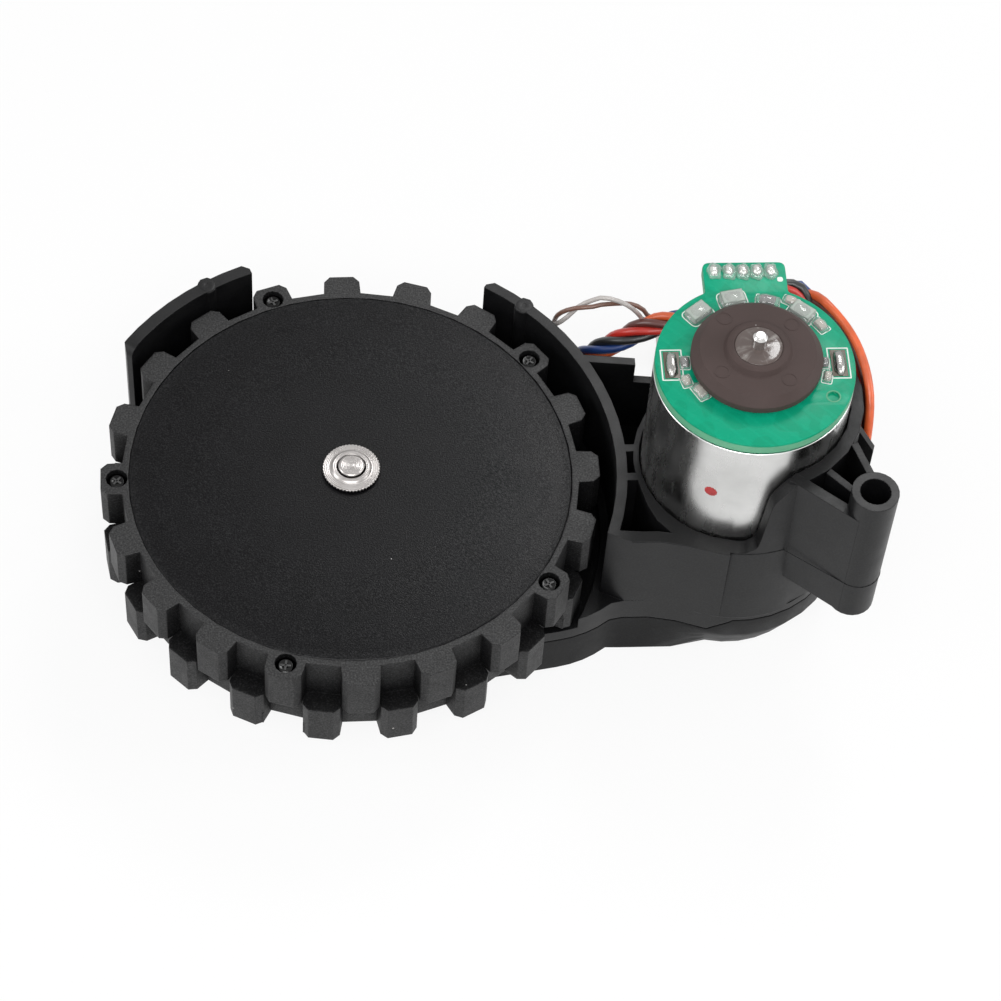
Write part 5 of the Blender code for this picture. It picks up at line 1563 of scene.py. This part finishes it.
@dataclass(frozen=True)
class Motor:
    """Motor can, its terminals, and the encoder on its tail."""

    centre: Point = LEVELS.motor
    can_lift: float = 1.8
    crimps: tuple[Point, ...] = ((-135.0, -128.0), (-49.0, -43.0), (-41.0, -38.0), (45.0, 52.0),
                                 (138.0, 145.0))
    dot_angle: float = -115.8
    dot_height: float = 36.0
    board_radius: float = 13.3
    tab_half: float = 5.6
    tab_reach: float = 17.2
    via: Point = (11.2, -29.0)
    pad_columns: tuple[float, ...] = (48.9, 50.9, 52.8, 54.7, 56.6)
    terminal_reach: float = 11.1
    terminal_foot: float = 44.0
    sensor_reach: float = 10.9
    sensor_angles: Point3 = (129.0, 101.0, 50.0)
    chips: tuple[Chip, ...] = (
        Chip(10.8, 76.0, 2.6, 1.3), Chip(11.9, 61.0, 1.7, 1.0), Chip(11.2, 34.0, 2.0, 1.1),
        Chip(9.4, 178.0, 1.6, 0.9), Chip(9.8, -164.0, 1.5, 0.9), Chip(8.9, -150.0, 2.2, 1.1),
        Chip(9.2, 0.0, 1.3, 0.7), Chip(9.6, -14.0, 1.5, 0.8))
    magnet_thick: float = 2.1
    hub_rise: float = 0.9
    marks: tuple[Point, ...] = ((-3.9, 5.2), (4.8, 4.1), (-5.0, -3.4), (3.6, -4.8))
    mark_spread: float = 1.02

    def build(self) -> None:
        """Create every piece of the motor and the encoder."""
        self.build_can()
        self.build_board()
        self.build_terminals()
        self.build_sensors()
        self.build_chips()
        self.build_magnet()
        self.build_hub()

    def at(self, radius: float, angle: float) -> Point:
        """Point at a radius and an angle in degrees about the motor's axis."""
        return polar(radius, angle, self.centre)

    def build_can(self) -> None:
        """Plated can with its folded rim, crimps and spot of red paint."""
        radius = LEVELS.can
        top = LEVELS.can_top
        low = LEVELS.tyre_bottom + self.can_lift
        can = [(radius - 0.95, top - 0.4), (radius - 0.75, top), (radius - 0.08, top),
               (radius, top - 0.08), (radius, low + 1.2), (radius - 1.2, low), (3.3, low), (3.3, 10.4),
               (1.2, 10.4), (1.2, top - 0.6), (radius - 0.95, top - 0.6)]
        put("can_shell", turned_mesh(can, self.centre, 160, 0.04), ZINC, node="motor_can")
        for i, (start, end) in enumerate(self.crimps):
            tab = arc(radius + 0.05, start, end, 6, self.centre)
            tab += arc(radius - 0.9, end, start, 6, self.centre)
            put("can_crimp_%d" % i, plate_mesh([tab], top - 0.9, top + 0.12, 0.1), ZINC)
        spot = [polar(0.86 + 0.08 * math.sin(3 * i), 360.0 * i / 24) for i in range(24)]
        place = (*self.at(radius - 0.02, self.dot_angle), self.dot_height)
        lay = standing(place, self.dot_angle) @ Matrix.Rotation(math.radians(90.0), 4, "Y")
        put("paint_dot", plate_mesh([spot], -0.02, 0.08, 0.03, lay), PAINT)

    def board_outline(self, inset: float = 0.0) -> list[Point]:
        """Outline of the board, round with a tab.

        Args:
            inset: How far it stands inside the full outline.

        Returns:
            The outline.
        """
        radius = self.board_radius - inset
        half = self.tab_half - inset
        reach = self.tab_reach - inset
        root = math.degrees(math.acos(half / radius))
        points = arc(radius, 180.0 - root, 360.0 + root, 90) + [(half, reach), (-half, reach)]
        return rounded([(x + self.centre[0], y + self.centre[1]) for x, y in points], 1.0, 5, 30.0)

    def terminals(self) -> tuple[tuple[str, float], tuple[str, float]]:
        """Names of the terminal nodes and where they stand along X."""
        return (("terminal_left", self.centre[0] - self.terminal_reach),
                ("terminal_right", self.centre[0] + self.terminal_reach))

    def build_board(self) -> None:
        """Board with terminal slots, its pale sawn edge, via and solder pads under glue."""
        low = LEVELS.board_bottom
        high = LEVELS.board_top
        via = self.at(*self.via)
        holes = [circle(3.6, 48, self.centre), circle(0.8, 24, via)]
        holes += [rounded(rectangle(1.5, 4.2, (x, 0.0)), 0.3) for _, x in self.terminals()]
        put("board_plate", plate_mesh([self.board_outline()] + holes, low, high, 0.08), MASK,
            node="encoder_board")
        put("board_edge", plate_mesh([self.board_outline(-0.03), self.board_outline(0.4)], low + 0.05,
                                     high - 0.3), LAMINATE)
        collar = [(0.8, high + 0.02), (1.0, high + 0.02), (1.0, high - 0.1), (0.8, low)]
        put("board_via", turned_mesh(collar, via, 32), LAMINATE)
        floor = raised(((0.0, -0.45), (0.82, -0.4), (0.82, -0.7), (0.0, -0.7)), high)
        put("board_via_floor", turned_mesh(floor, via, 32), MASK)
        for i, x in enumerate(self.pad_columns):
            put("solder_pad_%d" % i, blob_mesh((x, 15.7, high - 0.05), (1.1, 1.7, 0.55), 0.1, 2.6), SOLDER)
            put("pad_glue_%d" % i, blob_mesh((x, 15.6, high - 0.05), (2.0, 2.7, 0.8), 0.16, 2.8), GLUE)
        self.print_mark("pin_mark", (57.7, 14.2), (0.8, 0.8), 0.0, 0.39)

    def print_mark(self, name: str, middle: Point, size: Point, turn: float, corner: float = 0.3,
                   line: float = 0.0) -> None:
        """Printed white mark: a filled shape, or an outline when a line width is given.

        Args:
            name: Name of the piece.
            middle: Its middle.
            size: Length and width.
            turn: Turn in degrees.
            corner: Corner radius.
            line: Width of the printed line, 0 for a filled mark.
        """
        outlines = [rounded(rectangle(size[0] - 2 * inset, size[1] - 2 * inset),
                            max(0.05, corner - inset), 4) for inset in ((0.0, line) if line else (0.0,))]
        lay = standing((*middle, LEVELS.board_top + 0.01), turn)
        put(name, plate_mesh(outlines, -0.03, 0.03, turn=lay), SILK)

    def build_terminals(self) -> None:
        """Motor terminals in their framed slots, flooded with solder."""
        top = LEVELS.board_top
        end = top + 0.6
        for node, x in self.terminals():
            self.print_mark(node + "_frame", (x, 0.0), (2.9, 5.1), 0.0, 0.12, 0.17)
            tab = box_mesh((0.6, 3.2, end - self.terminal_foot), (x, 0.0, (end + self.terminal_foot) / 2),
                           edge=0.15)
            put(node + "_tab", tab, TINNED, node=node)
            put(node + "_flux", box_mesh((2.1, 4.35, 0.08), (x, 0.0, top + 0.03), edge=0.03), FLUX)
            put(node + "_solder", blob_mesh((x, 0.0, top), (1.6, 4.0, 1.0), 0.07, 2.9), TINNED)

    def build_sensors(self) -> None:
        """Three sensors in printed frames under clear glue."""
        for i, angle in enumerate(self.sensor_angles):
            dress_node("hall_sensor_%d" % (i + 1), HALL)
            spot = self.at(self.sensor_reach, angle)
            turn = angle + 90.0
            self.print_mark("sensor_frame_%d" % (i + 1), spot, (4.1, 3.1), turn, 0.9, 0.14)
            bead = blob_mesh((*spot, LEVELS.board_top - 0.03), (3.9, 2.9, 1.15), 0.05, 3.2, turn)
            put("sensor_glue_%d" % (i + 1), bead, GLUE)

    def build_chips(self) -> None:
        """Small chips round the magnet, with printed frames and clear glue."""
        top = LEVELS.board_top
        for i, chip in enumerate(self.chips):
            spot = self.at(chip.radius, chip.angle)
            turn = chip.angle + 90.0
            case = box_mesh((chip.length * 0.75, chip.width * 0.8, 0.5), (*spot, top + 0.25), turn, 0.06)
            put("chip_%d" % i, case, CERAMIC if i % 3 else EPOXY_AND_SHADE)
            self.print_mark("chip_frame_%d" % i, spot, (chip.length + 0.7, chip.width + 0.7), turn,
                            0.3, 0.12)
            bead = blob_mesh((*spot, top - 0.02), (chip.length * 1.35, chip.width * 1.6, 0.85), 0.10,
                             2.8, turn)
            put("chip_glue_%d" % i, bead, GLUE)

    def build_magnet(self) -> None:
        """Brown magnet disc with its raised hub and ejector marks."""
        low = LEVELS.magnet_bottom
        top = low + self.magnet_thick
        hub = top + self.hub_rise
        radius = LEVELS.magnet
        disc = [(1.1, hub - 0.45), (3.1, hub - 0.45), (3.2, hub - 0.03), (3.6, hub), (4.15, hub - 0.15),
                (4.55, top + 0.05), (4.9, top), (7.7, top), (radius - 0.15, top - 0.95),
                (radius, top - 1.1), (radius, low), (1.1, low)]
        put("magnet_disc", turned_mesh(disc, self.centre, 160, 0.08), BROWN, Body.ROTOR,
            "encoder_magnet")
        ring = raised(((0.88, 0.05), (1.04, 0.05), (1.04, -0.1), (0.88, -0.1)), top)
        for i, (x, y) in enumerate(self.marks):
            spot = (self.centre[0] + x * self.mark_spread, self.centre[1] + y * self.mark_spread)
            put("magnet_mark_%d" % i, turned_mesh(ring, spot, 32), BROWN, Body.ROTOR)

    def build_hub(self) -> None:
        """Clear resin in the magnet's hub, and the shaft's end that stands out of it."""
        hub = LEVELS.magnet_bottom + self.magnet_thick + self.hub_rise
        resin = raised(((0.9, 0.28), (1.5, 0.12), (2.6, 0.06), (3.15, -0.02), (3.15, -0.44),
                        (0.9, -0.44)), hub)
        put("hub_glue", turned_mesh(resin, self.centre, 96, 0.1), RESIN, Body.ROTOR)
        shaft = raised(((0.0, 0.0), (0.55, 0.0), (0.72, -0.08), (0.98, -0.42), (1.0, -0.55)),
                       LEVELS.shaft_top) + [(1.0, 5.8), (0.0, 5.8)]
        put("shaft_end", turned_mesh(shaft, self.centre, 48, 0.05), SHAFT, Body.ROTOR, "motor_shaft")


@dataclass(frozen=True)
class InnerParts:
    """CAD nodes that keep their own shape and get a worked finish."""

    cover_screws: int = 4
    slot_size: Point3 = (2.0, 0.42, 0.2)
    slot_lift: float = 0.08
    first_turn: float = 25.0
    turn_step: float = 37.0
    finishes: dict[str, Finish] = field(default_factory=lambda: {
        "output_gear": ACETAL, "second_gear": ACETAL, "first_gear": ACETAL, "motor_pinion": BRASS,
        "hub_bush": BRONZE, "second_gear_pin": STEEL, "first_gear_pin": STEEL,
        "motor_end_bell": NYLON})

    def build(self) -> None:
        """Give each node its finish, and the cover screws dark boxes for the cross slots seen from below, painted
        shade.
        """
        for name, finish in self.finishes.items():
            dress_node(name, finish)
        for i in range(self.cover_screws):
            node = "cover_screw_%d" % (i + 1)
            dress_node(node, ZINC)
            low, high = cad_box(node)
            middle = ((low.x + high.x) / 2, (low.y + high.y) / 2, low.z + self.slot_lift)
            for j in range(2):
                turn = self.first_turn + self.turn_step * i + 90.0 * j
                # Painted shade: dark boxes stand in for the shade in the cross slot.
                bar = box_mesh(self.slot_size, middle, turn, 0.04)
                put("%s_slot_%d" % (node, j), bar, EPOXY_AND_SHADE)


def main() -> None:
    """Build the camera, the module and the studio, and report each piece."""
    logging.basicConfig(level=logging.INFO, format="%(message)s")
    for group in (Viewpoint(), Harness(), Wheel(), Casing(), Motor(), InnerParts(), Studio()):
        before = set(bpy.data.objects.keys())
        group.build()
        added = [name for name in bpy.data.objects.keys() if name not in before]
        LOG.info("%s: %s", type(group).__name__, ", ".join(added))


if __name__ == "__main__":
    main()
